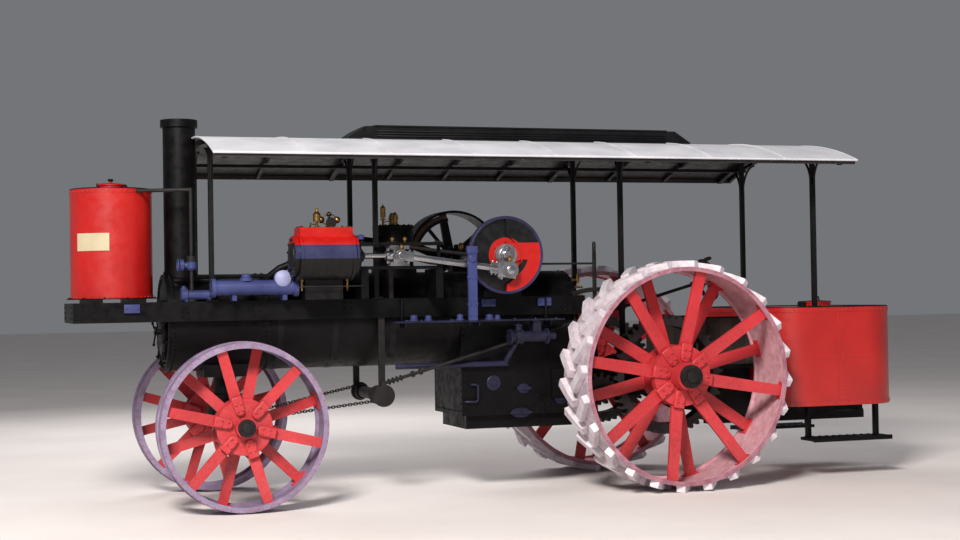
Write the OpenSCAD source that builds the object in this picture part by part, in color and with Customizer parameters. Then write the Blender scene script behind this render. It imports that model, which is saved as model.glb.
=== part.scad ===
// Steam traction engine with a full-length canopy, a round front water tank and a rear water tank.
// Built in its own frame: +X towards the front, +Y towards its left side, +Z up, in millimetres.
// Places along X are first given from the rear axle, then everything is centred on the origin.

/* [Rear wheels] */
// Radius of the rim plate
rear_rim_r = 1030; // [900:10:1150]
// Height of the lugs over the rim
lug_h = 60; // [40:5:70]
// Lugs in each of the two rows
lug_count = 24; // [16:2:30]
// Width of the tread
rear_tread_w = 600; // [450:10:700]
// Outer face of the rim, from the middle plane
rear_rim_y = 1380; // [1300:10:1500]
// Spokes in each of the two rows
rear_spokes = 8; // [6:1:12]

/* [Front wheels] */
// Radius of the rim
front_rim_r = 755; // [650:5:800]
// Width of the tread
front_tread_w = 360; // [280:10:400]
// Outer face of the rim, from the middle plane
front_rim_y = 1100; // [1050:5:1150]
// Spokes in each of the two rows
front_spokes = 6; // [5:1:8]
// Distance between the axles
wheelbase = 4140; // [4000:10:4300]

/* [Boiler] */
// Radius of the barrel and smokebox
barrel_r = 450; // [430:5:460]
// Height of the barrel's middle line
barrel_z = 1670; // [1650:5:1700]
// Front face of the smokebox, from the rear axle
smokebox_front = 4700; // [4680:5:4720]
// Length of the smokebox
smokebox_len = 950; // [850:10:1000]
// Front face of the firebox, from the rear axle
firebox_front = 1950; // [1920:5:2000]
// Length of the firebox
firebox_len = 1210; // [1150:10:1230]
// Width of the firebox
firebox_w = 900; // [860:10:910]
// Height of the bottom of the ash pan
ash_pan_z = 600; // [500:10:640]
// Radius of the smokestack
stack_r = 150; // [120:5:170]
// Height of the top of the smokestack
stack_top = 3560; // [3450:10:3700]

/* [Canopy] */
// Height of the eaves
eave_z = 3155; // [3130:5:3180]
// Half of the width of the roof
roof_half_w = 1350; // [1300:10:1360]
// Rise of the arched roof over the eaves
roof_rise = 240; // [220:10:260]
// Front edge of the roof, from the rear axle
roof_front = 4430; // [4420:5:4440]
// Rear edge of the roof, behind the rear axle
roof_rear = 1860; // [1850:5:1900]
// Thickness of the roof sheet on its boards
roof_t = 14; // [10:1:20]
// Width of a square canopy post
post_w = 44; // [36:2:50]

/* [Tanks] */
// Radius of the round front tank
front_tank_r = 370; // [340:5:380]
// Height of the front tank
front_tank_h = 1000; // [900:10:1050]
// Length of the rear tank
rear_tank_len = 1460; // [1400:10:1500]
// Width of the rear tank
rear_tank_w = 2000; // [1900:10:2040]
// Height of the top of the rear tank
rear_tank_top = 1710; // [1680:10:1740]
// Height of the bottom of the rear tank
rear_tank_bottom = 730; // [700:10:780]
// Corner radius of the rear tank, seen from above
rear_tank_corner = 420; // [350:10:450]

/* [Engine] */
// Height of the crankshaft and the cylinder's middle line
engine_z = 2260; // [2250:5:2280]
// Crankshaft, from the rear axle
crank_x = 1600; // [1590:5:1610]
// Crank radius, half of the stroke
crank_throw = 145; // [130:5:150]
// Radius of the crank disc
crank_disc_r = 368; // [340:2:370]
// Radius of the cylinder's jacket
cylinder_r = 215; // [190:5:220]
// Length of the cylinder's jacket
cylinder_len = 510; // [480:10:530]
// From the crosshead's pin to the front end of its slide bars
guide_reach = 410; // [390:5:430]
// Distance from the crank pin to the crosshead pin
rod_len = 1060; // [1040:5:1080]
// Radius of the flywheel
flywheel_r = 510; // [460:10:520]
// Width of the flywheel's face
flywheel_w = 290; // [240:10:300]

/* [Drive gears] */
// Module of the bull gears and their pinions
drive_module = 23.333; // [23.333:0.001:23.334]
// Teeth of a bull gear
bull_teeth = 48; // [48:12:48]
// Teeth of a pinion
pinion_teeth = 12; // [12:1:12]

/* [Hidden] */
$fn = 180;
gap = 5;                     // between pieces that move past each other
seat = 0.3;                  // between pieces that are bolted up
run = 0.1;                   // between a shaft and its bearing

// Wheels
rear_axle_z = rear_rim_r + lug_h;
front_axle_z = front_rim_r;
rear_plate_t = 20;
front_plate_t = 18;
flange_t = 22;
rear_axle_r = 62;
front_axle_r = 48;
rear_hub_r = 290;
front_hub_r = 250;
rear_hub_out = rear_rim_y + 10;
front_hub_out = front_rim_y + 20;
rear_hub_in = rear_rim_y - rear_tread_w + 20;
front_hub_in = front_rim_y - front_tread_w - 30;
rear_phase = 35.4;           // angle of the first spoke
front_phase = 46.5;
rear_spoke_w = [120, 104];   // at the hub and at the rim
front_spoke_w = [100, 88];
lug_w = 84;
lug_slant = 38;              // of each lug to the wheel's axis
lug_len = rear_tread_w * 0.54;

// Frames along the boiler, and the tanks on their ends
frame_top = 1868;
frame_bottom = 1688;
frame_in = max(barrel_r, firebox_w / 2) + 10;
frame_out = frame_in + 70;
post_y = frame_in + 35;
frame_web = 14;
front_reach = smokebox_front + 860;
smokebox_back = smokebox_front - smokebox_len;
firebox_back = firebox_front - firebox_len;
tank_seat_t = 32;
tank_bottom = frame_top + tank_seat_t;
tank_x = front_reach - front_tank_r - 20;
tank_top = tank_bottom + front_tank_h;
rear_tank_front = -(rear_rim_r + lug_h + 30);
rear_tank_back = rear_tank_front - rear_tank_len;
cross_bars = [rear_tank_back + 260, rear_tank_front - 380, rear_tank_front + 220];
cross_bar_w = 80;
cross_bar_z = rear_tank_bottom - 90;
hitch_r = 60;
hitch_x = rear_tank_back - 60;
hitch_z = 560;
x_shift = -(front_reach + hitch_x - hitch_r) / 2;

// Platform and the plates that carry it, the rear axle and the rear tank
floor_top = 1200;
floor_t = 40;
floor_bottom = floor_top - floor_t;
platform_half_w = 680;
plate_in = firebox_w / 2 + seat;
plate_out = plate_in + 30;

// Bull gears, pinions and the countershaft
bull_r = drive_module * bull_teeth / 2;
pinion_r = drive_module * pinion_teeth / 2;
bull_in = rear_rim_y - rear_tread_w + 10;
bull_w = 135;
pinion_w = 80;
counter_x = firebox_back - 50;
counter_z = rear_axle_z - sqrt(pow(bull_r + pinion_r, 2) - counter_x * counter_x);
counter_r = 40;
mesh_angle = atan2(counter_z - rear_axle_z, counter_x); // from the axle to the countershaft

// Gear train from the crankshaft to the countershaft, on the right side
train_w = 70;
train_in = rear_rim_y - rear_tread_w - 10 - train_w;
train_module = 20;
crank_teeth = 14;
middle_teeth = 50;
counter_teeth = 44;
crank_gear_r = train_module * crank_teeth / 2;
middle_gear_r = train_module * middle_teeth / 2;
counter_gear_r = train_module * counter_teeth / 2;
train_dx = crank_x - counter_x;
train_dz = engine_z - counter_z;
train_d = norm([train_dx, train_dz]);
train_a = crank_gear_r + middle_gear_r;
train_b = middle_gear_r + counter_gear_r;
train_u = (train_a * train_a - train_b * train_b + train_d * train_d) / (2 * train_d);
train_v = sqrt(max(0, train_a * train_a - train_u * train_u));
middle_x = crank_x - (train_u * train_dx - train_v * train_dz) / train_d;
middle_z = engine_z - (train_u * train_dz + train_v * train_dx) / train_d;
angle_a = atan2(middle_z - engine_z, middle_x - crank_x);
angle_b = atan2(counter_z - middle_z, counter_x - middle_x);
middle_turn = angle_a + 180 + 180 / middle_teeth;
middle_rest = (angle_b - middle_turn) % (360 / middle_teeth);
counter_turn = angle_b + 180 + 180 / counter_teeth + middle_rest * middle_teeth / counter_teeth;

// Stub teeth with involute flanks: a list of points for a gear with a tooth centred on angle 0
tooth_slack = 2;             // thinner than half of a step
pressure_angle = 20;
function roll_angle(r, base) = tan(acos(base / r)) * 180 / PI - acos(base / r);
function half_tooth(r, pitch, base, teeth) = 90 / teeth - tooth_slack / pitch * 90 / PI
  + roll_angle(pitch, base) - roll_angle(max(r, base), base);
function gear_radii(m, teeth) = let (
    pitch = m * teeth / 2, base = pitch * cos(pressure_angle),
    tip = pitch + 0.75 * m, root = pitch - 0.95 * m)
  root < base ? [root, base, (base + tip) / 2, tip] : [root, (root + tip) / 2, tip];
function gear_points(m, teeth) = let (
    pitch = m * teeth / 2, base = pitch * cos(pressure_angle),
    radii = gear_radii(m, teeth), last = len(radii) - 1)
  [for (i = [0:teeth - 1]) for (flank = [-1, 1]) for (k = [0:last])
    let (r = radii[flank < 0 ? k : last - k],
         a = 360 * i / teeth + flank * half_tooth(r, pitch, base, teeth))
    [r * cos(a), r * sin(a)]];

// Engine on the left side
cylinder_y = frame_out + 260;
rod_y = cylinder_y + 100;
rod_t = 60;
chest_y = frame_out + 15;
chest_top = engine_z + 170;
cover_top = engine_z + cylinder_r + 45;
cover_t = 40;
guide_back = crank_x + crank_disc_r + 270;
guide_half_h = 95;
guide_t = 30;
guide_w = 100;
disc_out = rod_y - rod_t / 2 - 55;
disc_in = disc_out - 60;
shaft_r = 48;
crank_pin_r = 36;
wrist_pin_r = 24;
crank_pin_z = engine_z - crank_throw;
cross_x = crank_x + sqrt(rod_len * rod_len - crank_throw * crank_throw);
guide_front = cross_x + guide_reach;
cylinder_back = guide_front + cover_t + seat;
cylinder_front = cylinder_back + cylinder_len;
piston_rod_r = 26;
bearing_in = post_y + 45;
bearing_out = train_in - 20;
flywheel_in = train_in + train_w + 50;

// Smokestack, dome and roof
stack_x = smokebox_front - stack_r - 10;
stack_t = 14;
shell_t = 16;
dome_x = 2480;
dome_r = 190;
boiler_top = barrel_z + barrel_r;
roof_arc_r = (roof_half_w * roof_half_w + roof_rise * roof_rise) / (2 * roof_rise);
roof_arc_z = eave_z + roof_rise - roof_arc_r;
bow_h = 55;
rail_t = 30;                 // wall plates under the roof's long edges
rail_in = roof_half_w - 50;
posts = [                    // x, y and foot of each pair
  [stack_x - stack_r - 60, post_y, frame_top + seat],
  [2790, post_y, frame_top + seat],
  [350, 620, floor_top + seat],
  [rear_tank_front - 580, 760, rear_tank_top + seat]
];

// Steering
kingpin_r = 45;
turntable_z = 930;
turntable_r = 170;
roll_x = 2750;
roll_z = 960;
roll_r = 55;
column_y = frame_out + 30;
steer_wheel_x = -600;
steer_wheel_z = 2000;
chain_y = 260;

// Ledge under the engine, and the feed pump under it
step_back = firebox_back + 280;
step_front = firebox_front + 740;
step_out = frame_out + 270;
step_top = frame_bottom - 36;
step_t = 16;

// Doors
door_r = 260;
door_z = 1590;
door_t = 26;
door_hinge_x = smokebox_front + 14;
door_hinge_y = -(door_r + 22);
fire_hole_w = 360;
fire_hole_h = 260;
fire_z = 1500;
fire_hinge_x = firebox_back - 24;
fire_hinge_y = fire_hole_w / 2 + 60;

// A round bar from one point to another
module bar(a, b, r) {
  d = b - a;
  len = norm(d);
  translate(a) rotate([0, acos(d[2] / len), atan2(d[1], d[0])]) cylinder(h = len, r = r);
}

// A box given by its lowest and highest corners
module block(lo, hi) {
  translate(lo) cube(hi - lo);
}

// The same box on both sides of the middle plane
module twin_block(lo, hi) {
  for (s = [0, 1]) mirror([0, s, 0]) block(lo, hi);
}

// A cylinder along Y from y0 to y1
module cyl_y(x, z, y0, y1, r) {
  translate([x, y1, z]) rotate([90, 0, 0]) cylinder(h = y1 - y0, r = r);
}

// A cylinder along X from x0 to x1
module cyl_x(y, z, x0, x1, r) {
  translate([x0, y, z]) rotate([0, 90, 0]) cylinder(h = x1 - x0, r = r);
}

// Wheels and gears are drawn around Z with the outer side up, then put on the left or right
module on_side(x, z, side) {
  translate([x, 0, z]) rotate([-90 * side, 0, 0]) children();
}

// A disc between two heights
module disc(z0, z1, r) {
  translate([0, 0, z0]) cylinder(h = z1 - z0, r = r);
}

// A flat spoke from the hub out past the rim
module spoke(r0, z0, r1, z1, w0, w1, t) {
  len = norm([r1 - r0, z1 - z0]);
  translate([r0, 0, z0]) rotate([0, -atan2(z1 - z0, r1 - r0), 0]) translate([0, 0, -t / 2])
    linear_extrude(t) polygon([[0, -w0 / 2], [len, -w1 / 2], [len, w1 / 2], [0, w0 / 2]]);
}

// Rim of a wheel: its plate with an inward flange at each edge
module rim(r, w, y_out, plate_t, flange_h) {
  difference() {
    disc(y_out - w, y_out, r);
    disc(y_out - w - 1, y_out + 1, r - plate_t - flange_h);
    disc(y_out - w + flange_t, y_out - flange_t, r - plate_t);
  }
}

// Wheels
module lug(angle, y_mid, slant) {
  sink = 8;
  rotate([0, 0, angle]) translate([rear_rim_r - sink, 0, y_mid]) rotate([slant, 0, 0])
    translate([0, -lug_w / 2, -lug_len / 2]) cube([lug_h + sink + 10, lug_w, lug_len]);
}

module rear_rim(side) {
  rows = [[0.25, 1, 0], [0.75, -1, 0.5]]; // share of the tread, way of the slant, share of a step
  color("gainsboro") on_side(0, rear_axle_z, side) intersection() {
    union() {
      rim(rear_rim_r, rear_tread_w, rear_rim_y, rear_plate_t, 20);
      for (row = rows) for (i = [0:lug_count - 1])
        lug((i + row[2]) * 360 / lug_count, rear_rim_y - rear_tread_w * row[0], row[1] * lug_slant);
    }
    disc(rear_rim_y - rear_tread_w, rear_rim_y, rear_rim_r + lug_h);
  }
}

module rear_spider(side) {
  spoke_end = rear_rim_r - rear_plate_t - seat;
  rim_in = rear_rim_y - rear_tread_w;
  rows = [[rear_rim_y - 200, rear_rim_y - 60, 0], [rear_rim_y - 420, rim_in + 100, 0.5]];
  core_r = 130;
  drum_r = 190;
  w = rear_spoke_w;
  color("crimson") on_side(0, rear_axle_z, side) difference() {
    union() {
      intersection() {
        for (row = rows) for (i = [0:rear_spokes - 1])
          rotate([0, 0, rear_phase + (i + row[2]) * 360 / rear_spokes])
            spoke(rear_hub_r - 60, row[0], spoke_end + 20, row[1], w[0], w[1], 34);
        disc(rim_in, rear_rim_y, spoke_end);
      }
      disc(rear_hub_in, rear_hub_out, core_r);
      for (row = rows) disc(row[0] - 45, row[0] + 45, rear_hub_r);
      disc(rows[1][0], rows[0][0], drum_r);
      difference() {
        translate([0, 0, bull_in]) rotate([0, 0, -side * mesh_angle]) linear_extrude(bull_w)
          polygon(gear_points(drive_module, bull_teeth));
        disc(bull_in - 1, bull_in + bull_w + 1, bull_r - 90);
      }
    }
    disc(rear_hub_in - 1, rear_hub_out + 1, rear_axle_r + run);
  }
}

module front_rim(side) {
  band_w = 60;
  band_h = 12;
  mid = front_rim_y - front_tread_w / 2;
  color("rosybrown") on_side(wheelbase, front_axle_z, side) union() {
    rim(front_rim_r - band_h, front_tread_w, front_rim_y, front_plate_t, 30);
    difference() {
      disc(mid - band_w / 2, mid + band_w / 2, front_rim_r);
      disc(mid - band_w, mid + band_w, front_rim_r - band_h - 5);
    }
  }
}

module front_spider(side) {
  spoke_end = front_rim_r - 12 - front_plate_t - seat;
  rim_in = front_rim_y - front_tread_w;
  rows = [[front_rim_y - 105, front_rim_y - 46, 0], [front_rim_y - 255, rim_in + 46, 0.5]];
  core_r = 92;
  drum_r = 130;
  w = front_spoke_w;
  color("crimson") on_side(wheelbase, front_axle_z, side) difference() {
    union() {
      intersection() {
        for (row = rows) for (i = [0:front_spokes - 1])
          rotate([0, 0, front_phase + (i + row[2]) * 360 / front_spokes])
            spoke(front_hub_r - 40, row[0], spoke_end + 20, row[1], w[0], w[1], 28);
        disc(rim_in, front_rim_y, spoke_end);
      }
      disc(front_hub_in, front_hub_out, core_r);
      for (row = rows) disc(row[0] - 35, row[0] + 35, front_hub_r);
      disc(rows[1][0], rows[0][0], drum_r);
    }
    disc(front_hub_in - 1, front_hub_out + 1, front_axle_r + run);
  }
}

// Each pinion with its half of the countershaft
module pinion(side) {
  color("dimgray") on_side(counter_x, counter_z, side) union() {
    translate([0, 0, bull_in]) rotate([0, 0, -side * mesh_angle + 180 + 180 / pinion_teeth])
      linear_extrude(pinion_w) polygon(gear_points(drive_module, pinion_teeth));
    disc(gap / 2, bull_in + 1, counter_r);
  }
}

// Front axle with its turntable and kingpin
module front_axle() {
  beam = 55;
  color("black") union() {
    block([wheelbase - beam, -front_hub_in + gap, front_axle_z - beam],
          [wheelbase + beam, front_hub_in - gap, front_axle_z + beam]);
    cyl_y(wheelbase, front_axle_z, -front_hub_out - 30, front_hub_out + 30, front_axle_r);
    for (s = [0, 1]) mirror([0, s, 0]) {
      cyl_y(wheelbase, front_axle_z, front_hub_out + gap, front_hub_out + 30, 74);
      block([wheelbase - 130, chain_y - 30, front_axle_z - 14],
            [wheelbase, chain_y + 30, front_axle_z + 14]);
    }
    translate([wheelbase, 0, 0]) {
      disc(front_axle_z, turntable_z, turntable_r);
      disc(turntable_z - 1, turntable_z + 120, kingpin_r);
    }
  }
}

// Bracket under the smokebox that holds the kingpin
module front_pedestal() {
  foot = turntable_z + gap;
  color("black") difference() {
    union() {
      translate([wheelbase, 0, 0]) {
        disc(foot, foot + 60, turntable_r);
        disc(foot, barrel_z - barrel_r + 60, 105);
      }
      block([wheelbase - 230, -230, foot + 230], [wheelbase + 230, 230, foot + 420]);
      twin_block([wheelbase - 25, 60, foot + 30], [wheelbase + 25, 160, foot + 240]);
    }
    cyl_x(0, barrel_z, wheelbase - 300, wheelbase + 300, barrel_r + seat);
    translate([wheelbase, 0, 0]) disc(foot - 1, turntable_z + 130, kingpin_r + run);
  }
}

// Boiler
module boiler_barrel() {
  color("black") difference() {
    cyl_x(0, barrel_z, firebox_front + seat, smokebox_back - seat, barrel_r);
    cyl_x(0, barrel_z, firebox_front - 1, smokebox_back + 1, barrel_r - shell_t);
    cyl_x(0, barrel_z, firebox_front - 1, smokebox_back + 1, 120);
  }
}

// The two ears of a hinge, over and under its knuckle
module hinge_ears(x, y, z, x_wall, knuckle) {
  for (dz = [-knuckle - seat - 14, knuckle + seat])
    block([min(x - 13, x_wall), y - 13, z + dz], [max(x + 13, x_wall), y + 13, z + dz + 14]);
}

module smokebox() {
  color("black") difference() {
    union() {
      cyl_x(0, barrel_z, smokebox_back, smokebox_front, barrel_r);
      for (dz = [-110, 110])
        hinge_ears(door_hinge_x, door_hinge_y, door_z + dz, smokebox_front - 1, 22);
    }
    cyl_x(0, barrel_z, smokebox_back + 60, smokebox_front - 24, barrel_r - shell_t);
    cyl_x(0, door_z, smokebox_front - 40, smokebox_front + 1, door_r - 30);
    translate([stack_x, 0, 0]) disc(barrel_z, boiler_top + 10, stack_r - stack_t);
  }
}

// Round smokebox door, hinged at its right edge
module smokebox_door() {
  x0 = smokebox_front + seat;
  color("black") union() {
    cyl_x(0, door_z, x0, x0 + door_t, door_r);
    for (dz = [-110, 110]) {
      block([x0 + 6, door_hinge_y, door_z + dz - 18], [x0 + door_t + 8, 0, door_z + dz + 18]);
      translate([door_hinge_x, door_hinge_y, door_z + dz]) disc(-22, 22, 12);
    }
    cyl_x(0, door_z, x0, x0 + 70, 26);
  }
}

module firebox() {
  half_w = firebox_w / 2;
  grate_z = ash_pan_z + 130;
  wall = 90;
  color("black") difference() {
    union() {
      cyl_x(0, barrel_z, firebox_back, firebox_front, half_w);
      block([firebox_back, -half_w, grate_z], [firebox_front, half_w, barrel_z]);
      block([firebox_back + 60, 70 - half_w, ash_pan_z], [firebox_front - 60, half_w - 70, grate_z + 5]);
      for (dz = [-90, 90]) hinge_ears(fire_hinge_x, fire_hinge_y, fire_z + dz, firebox_back + 1, 24);
    }
    block([firebox_back + wall, wall - half_w, grate_z - 40],
          [firebox_front - wall, half_w - wall, barrel_z + 60]);
    block([firebox_back - 1, -fire_hole_w / 2, fire_z - fire_hole_h / 2],
          [firebox_back + wall + 1, fire_hole_w / 2, fire_z + fire_hole_h / 2]);
  }
}

// Fire door in the back head, hinged at its left edge
module fire_door() {
  x1 = firebox_back - seat;
  lap = 30;
  color("dimgray") union() {
    block([x1 - 22, -fire_hole_w / 2 - lap, fire_z - fire_hole_h / 2 - lap],
          [x1, fire_hole_w / 2 + lap, fire_z + fire_hole_h / 2 + lap]);
    for (dz = [-90, 90]) {
      block([x1 - 34, -fire_hole_w / 4, fire_z + dz - 20], [x1 - 14, fire_hinge_y, fire_z + dz + 20]);
      translate([fire_hinge_x, fire_hinge_y, fire_z + dz]) disc(-24, 24, 13);
    }
    block([x1 - 70, -fire_hole_w / 2 - 10, fire_z - 12], [x1 - 20, 14 - fire_hole_w / 2, fire_z + 12]);
  }
}

module smokestack() {
  color("black") difference() {
    translate([stack_x, 0, 0]) {
      disc(boiler_top - 60, stack_top, stack_r);
      disc(boiler_top - 80, boiler_top + 30, stack_r + 9);
      disc(stack_top - 70, stack_top, stack_r + 22);
    }
    translate([stack_x, 0, 0]) disc(boiler_top - 100, stack_top + 1, stack_r - stack_t);
    cyl_x(0, barrel_z, smokebox_back, smokebox_front + 100, barrel_r + seat);
  }
}

// Steam dome with its safety valves
module steam_dome() {
  dome_h = 440;
  color("black") difference() {
    union() {
      translate([dome_x, 0, 0]) {
        disc(boiler_top - 60, boiler_top + dome_h, dome_r);
        disc(boiler_top - 80, boiler_top + 30, dome_r + 30);
      }
      for (y = [-60, 60]) translate([dome_x, y, boiler_top]) disc(dome_h - 1, dome_h + 110, 26);
    }
    cyl_x(0, barrel_z, dome_x - 400, dome_x + 400, barrel_r + seat);
  }
}

// Channels along both sides of the boiler, out to the front tank
module side_frames() {
  x0 = firebox_back - 40;
  pads = [firebox_back + 100, firebox_front - 150, smokebox_back - 700, smokebox_back + 150,
          smokebox_front - 150];
  color("black") difference() {
    union() {
      twin_block([x0, frame_out - frame_web, frame_bottom], [front_reach, frame_out, frame_top]);
      twin_block([x0, frame_in, frame_bottom], [front_reach, frame_out, frame_bottom + frame_web]);
      twin_block([x0, frame_in, frame_top - frame_web], [front_reach, frame_out, frame_top]);
      for (x = pads)
        twin_block([x, frame_in - 60, frame_bottom], [x + 60, frame_out - 1, frame_bottom + 80]);
      block([front_reach - frame_web, -frame_out, frame_bottom], [front_reach, frame_out, frame_top]);
      for (x = [tank_x - 250, tank_x + 130])
        block([x, -frame_out, frame_top - 1], [x + 120, frame_out, tank_bottom - seat]);
    }
    cyl_x(0, barrel_z, x0 - 1, smokebox_front + 1, max(barrel_r, firebox_w / 2) + seat);
  }
}

// Ledge under the engine on the left side, with the post of the valve gear
module side_step() {
  bracket_h = 60;
  bracket_t = 14;
  post_x = firebox_front;
  post_w = 84;
  post_h = 680;
  post_in = rod_y + rod_t / 2 + 20;
  color("dimgray") union() {
    block([step_back, frame_out + 1, step_top - step_t], [step_front, step_out, step_top]);
    for (x = [step_back + 100, firebox_front - 110, step_front - 130]) {
      block([x, frame_out + seat, step_top - bracket_h], [x + bracket_t, step_out - 90, step_top - 1]);
      block([x, frame_out + seat, step_top - 1], [x + bracket_t, frame_out + 50, frame_top - 20]);
    }
    block([post_x, step_out - 1, step_top - step_t], [post_x + post_w, post_in + 34, step_top]);
    block([post_x, post_in, step_top - 1], [post_x + post_w, post_in + 34, step_top + post_h]);
  }
}

// Round tank on the front end of the frames
module front_tank() {
  wall = 8;
  lid_r = 120;
  color("crimson") difference() {
    translate([tank_x, 0, 0]) {
      disc(tank_bottom, tank_top, front_tank_r);
      disc(tank_top - 1, tank_top + 45, lid_r - 12);
      disc(tank_top + 45, tank_top + 56, lid_r);
      disc(tank_top + 55, tank_top + 85, 15);
    }
    translate([tank_x, 0, 0]) {
      disc(tank_bottom + wall, tank_top - wall, front_tank_r - wall);
      disc(tank_top - 60, tank_top + 44, lid_r - 22);
    }
  }
}

module tank_pipe() {
  x = stack_x - 30;
  y = post_y;
  z = tank_top - 20;
  valve_z = frame_top + 362;
  inward = 100;
  pipe_r = 17;
  color("black") difference() {
    union() {
      bar([x, y, z], [tank_x - inward, front_tank_r - inward, z], pipe_r);
      bar([x, y, z + pipe_r], [x, y, frame_top + 10], pipe_r);
      translate([x, y, valve_z]) disc(-50, 50, 44);
      translate([x, y, 0]) disc(frame_top + seat, frame_top + 24, 46);
    }
    translate([tank_x, 0, 0]) disc(tank_bottom, tank_top, front_tank_r + seat);
  }
}

// Rear tank with round corners, seen from above
module rear_tank_outline(inset) {
  c = rear_tank_corner - inset;
  x0 = rear_tank_back + inset;
  x1 = rear_tank_front - inset;
  y1 = rear_tank_w / 2 - inset;
  union() {
    translate([x0, -y1 + c]) square([x1 - x0, 2 * (y1 - c)]);
    translate([x0 + c, -y1]) square([x1 - x0 - 2 * c, 2 * y1]);
    for (x = [x0 + c, x1 - c]) for (y = [-y1 + c, y1 - c]) translate([x, y]) circle(r = c);
  }
}

module rear_tank() {
  wall = 10;
  lid_r = 150;
  h = rear_tank_top - rear_tank_bottom;
  color("crimson") difference() {
    union() {
      translate([0, 0, rear_tank_bottom]) linear_extrude(h) rear_tank_outline(0);
      translate([rear_tank_back + 420, 0, rear_tank_top]) {
        disc(-1, 40, lid_r);
        disc(40, 52, lid_r + 12);
      }
    }
    translate([0, 0, rear_tank_bottom + wall]) linear_extrude(h - 2 * wall) rear_tank_outline(wall);
    translate([rear_tank_back + 420, 0, rear_tank_top]) disc(-60, 39, lid_r - 12);
  }
}

// Plates behind the firebox that carry the axle, the platform and the rear tank
module rear_frame() {
  outline = [
    [rear_tank_back + 180, cross_bar_z], [rear_tank_back + 180, rear_tank_bottom - seat],
    [rear_tank_front + 8, rear_tank_bottom - seat], [rear_tank_front + 20, floor_bottom - 60],
    [rear_tank_front + 20, floor_bottom - seat], [firebox_back + 300, floor_bottom - seat],
    [firebox_back + 300, counter_z - 100], [firebox_back - 140, counter_z - 120],
    [-160, rear_axle_z - 200], [-700, cross_bar_z]
  ];
  color("black") difference() {
    union() {
      for (s = [0, 1]) mirror([0, s, 0])
        translate([0, plate_out, 0]) rotate([90, 0, 0]) linear_extrude(plate_out - plate_in)
          polygon(outline);
      for (x = cross_bars)
        block([x, -plate_in - 1, cross_bar_z], [x + cross_bar_w, plate_in + 1, cross_bar_z + 70]);
    }
    cyl_y(0, rear_axle_z, -plate_out - 1, plate_out + 1, rear_axle_r + seat);
    cyl_y(counter_x, counter_z, -plate_out - 1, plate_out + 1, counter_r + run);
  }
}

// Drawbar under the rear tank, and the steps at its sides
module drawbar() {
  z0 = hitch_z - 40;
  z1 = hitch_z + 40;
  step_x = rear_tank_back + 100;
  color("black") difference() {
    union() {
      block([hitch_x, -hitch_r, z0], [cross_bars[2] + cross_bar_w - 20, hitch_r, z1]);
      translate([hitch_x, 0, 0]) disc(z0, z1, hitch_r);
      for (x = cross_bars)
        block([x, -hitch_r, z1 - 1], [x + cross_bar_w, hitch_r, cross_bar_z - seat]);
      for (s = [0, 1]) mirror([0, s, 0]) {
        block([step_x, 640, 370], [step_x + 900, 900, 400]);
        for (x = [step_x + 40, step_x + 820])
          block([x, 660, 399], [x + 40, 720, rear_tank_bottom - seat]);
      }
    }
    translate([hitch_x, 0, 0]) disc(z0 - 1, z1 + 1, 25);
  }
}

// Floor between the rear wheels, with low sides
module platform() {
  x0 = rear_tank_front + 12;
  color("dimgray") union() {
    block([x0, -platform_half_w, floor_bottom], [firebox_back - seat, platform_half_w, floor_top]);
    twin_block([x0, platform_half_w - 16, floor_top - 1], [x0 + 620, platform_half_w, floor_top + 420]);
  }
}

// Axle of the rear wheels, with its collars
module rear_axle() {
  end = rear_hub_out + 50;
  color("black") union() {
    cyl_y(0, rear_axle_z, -end, end, rear_axle_r);
    for (s = [0, 1]) mirror([0, s, 0]) {
      cyl_y(0, rear_axle_z, rear_hub_out + gap, end, 95);
      cyl_y(0, rear_axle_z, platform_half_w + gap, rear_hub_in - gap, 88);
    }
  }
}

// Arched sheet over the whole engine
module arch(x0, x1, outer_r, inner_r, half_w) {
  $fn = 720;
  intersection() {
    difference() {
      cyl_x(0, roof_arc_z, x0, x1, outer_r);
      cyl_x(0, roof_arc_z, x0 - 1, x1 + 1, inner_r);
    }
    block([x0 - 1, -half_w, eave_z - 200], [x1 + 1, half_w, eave_z + 900]);
  }
}

module canopy_roof() {
  color("silver") difference() {
    union() {
      arch(-roof_rear, roof_front, roof_arc_r, roof_arc_r - roof_t, roof_half_w);
      twin_block([-roof_rear + 10, rail_in, eave_z - 45],
                 [roof_front - 10, rail_in + rail_t, eave_z - 3]);
    }
    translate([stack_x, 0, 0]) disc(eave_z, eave_z + roof_rise + 50, stack_r + 15);
  }
}

// Low ventilator along the crown of the roof
module roof_ridge_vent() {
  vent_front = 3000;
  vent_back = -560;
  vent_h = 125;
  half_w = 330;
  top = eave_z + roof_rise + vent_h + 50;
  color("black") intersection() {
    arch(vent_back, vent_front, roof_arc_r + vent_h, roof_arc_r + seat, half_w);
    translate([0, half_w, 0]) rotate([90, 0, 0]) linear_extrude(2 * half_w)
      polygon([[vent_back, eave_z], [vent_front, eave_z], [vent_front, eave_z + roof_rise],
               [vent_front - 270, top], [vent_back + 270, top], [vent_back, eave_z + roof_rise]]);
  }
}

// Posts, with a bow under the roof over each pair
module canopy_posts() {
  bow_out = roof_arc_r - roof_t - seat;
  color("black") union() {
    for (p = posts) {
      arch(p[0] - 25, p[0] + 25, bow_out, bow_out - bow_h, rail_in - gap);
      twin_block([p[0] - post_w / 2, p[1] - post_w / 2, p[2]],
                 [p[0] + post_w / 2, p[1] + post_w / 2,
                  roof_arc_z + sqrt(pow(bow_out - bow_h / 2, 2) - p[1] * p[1])]);
    }
  }
}

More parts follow.
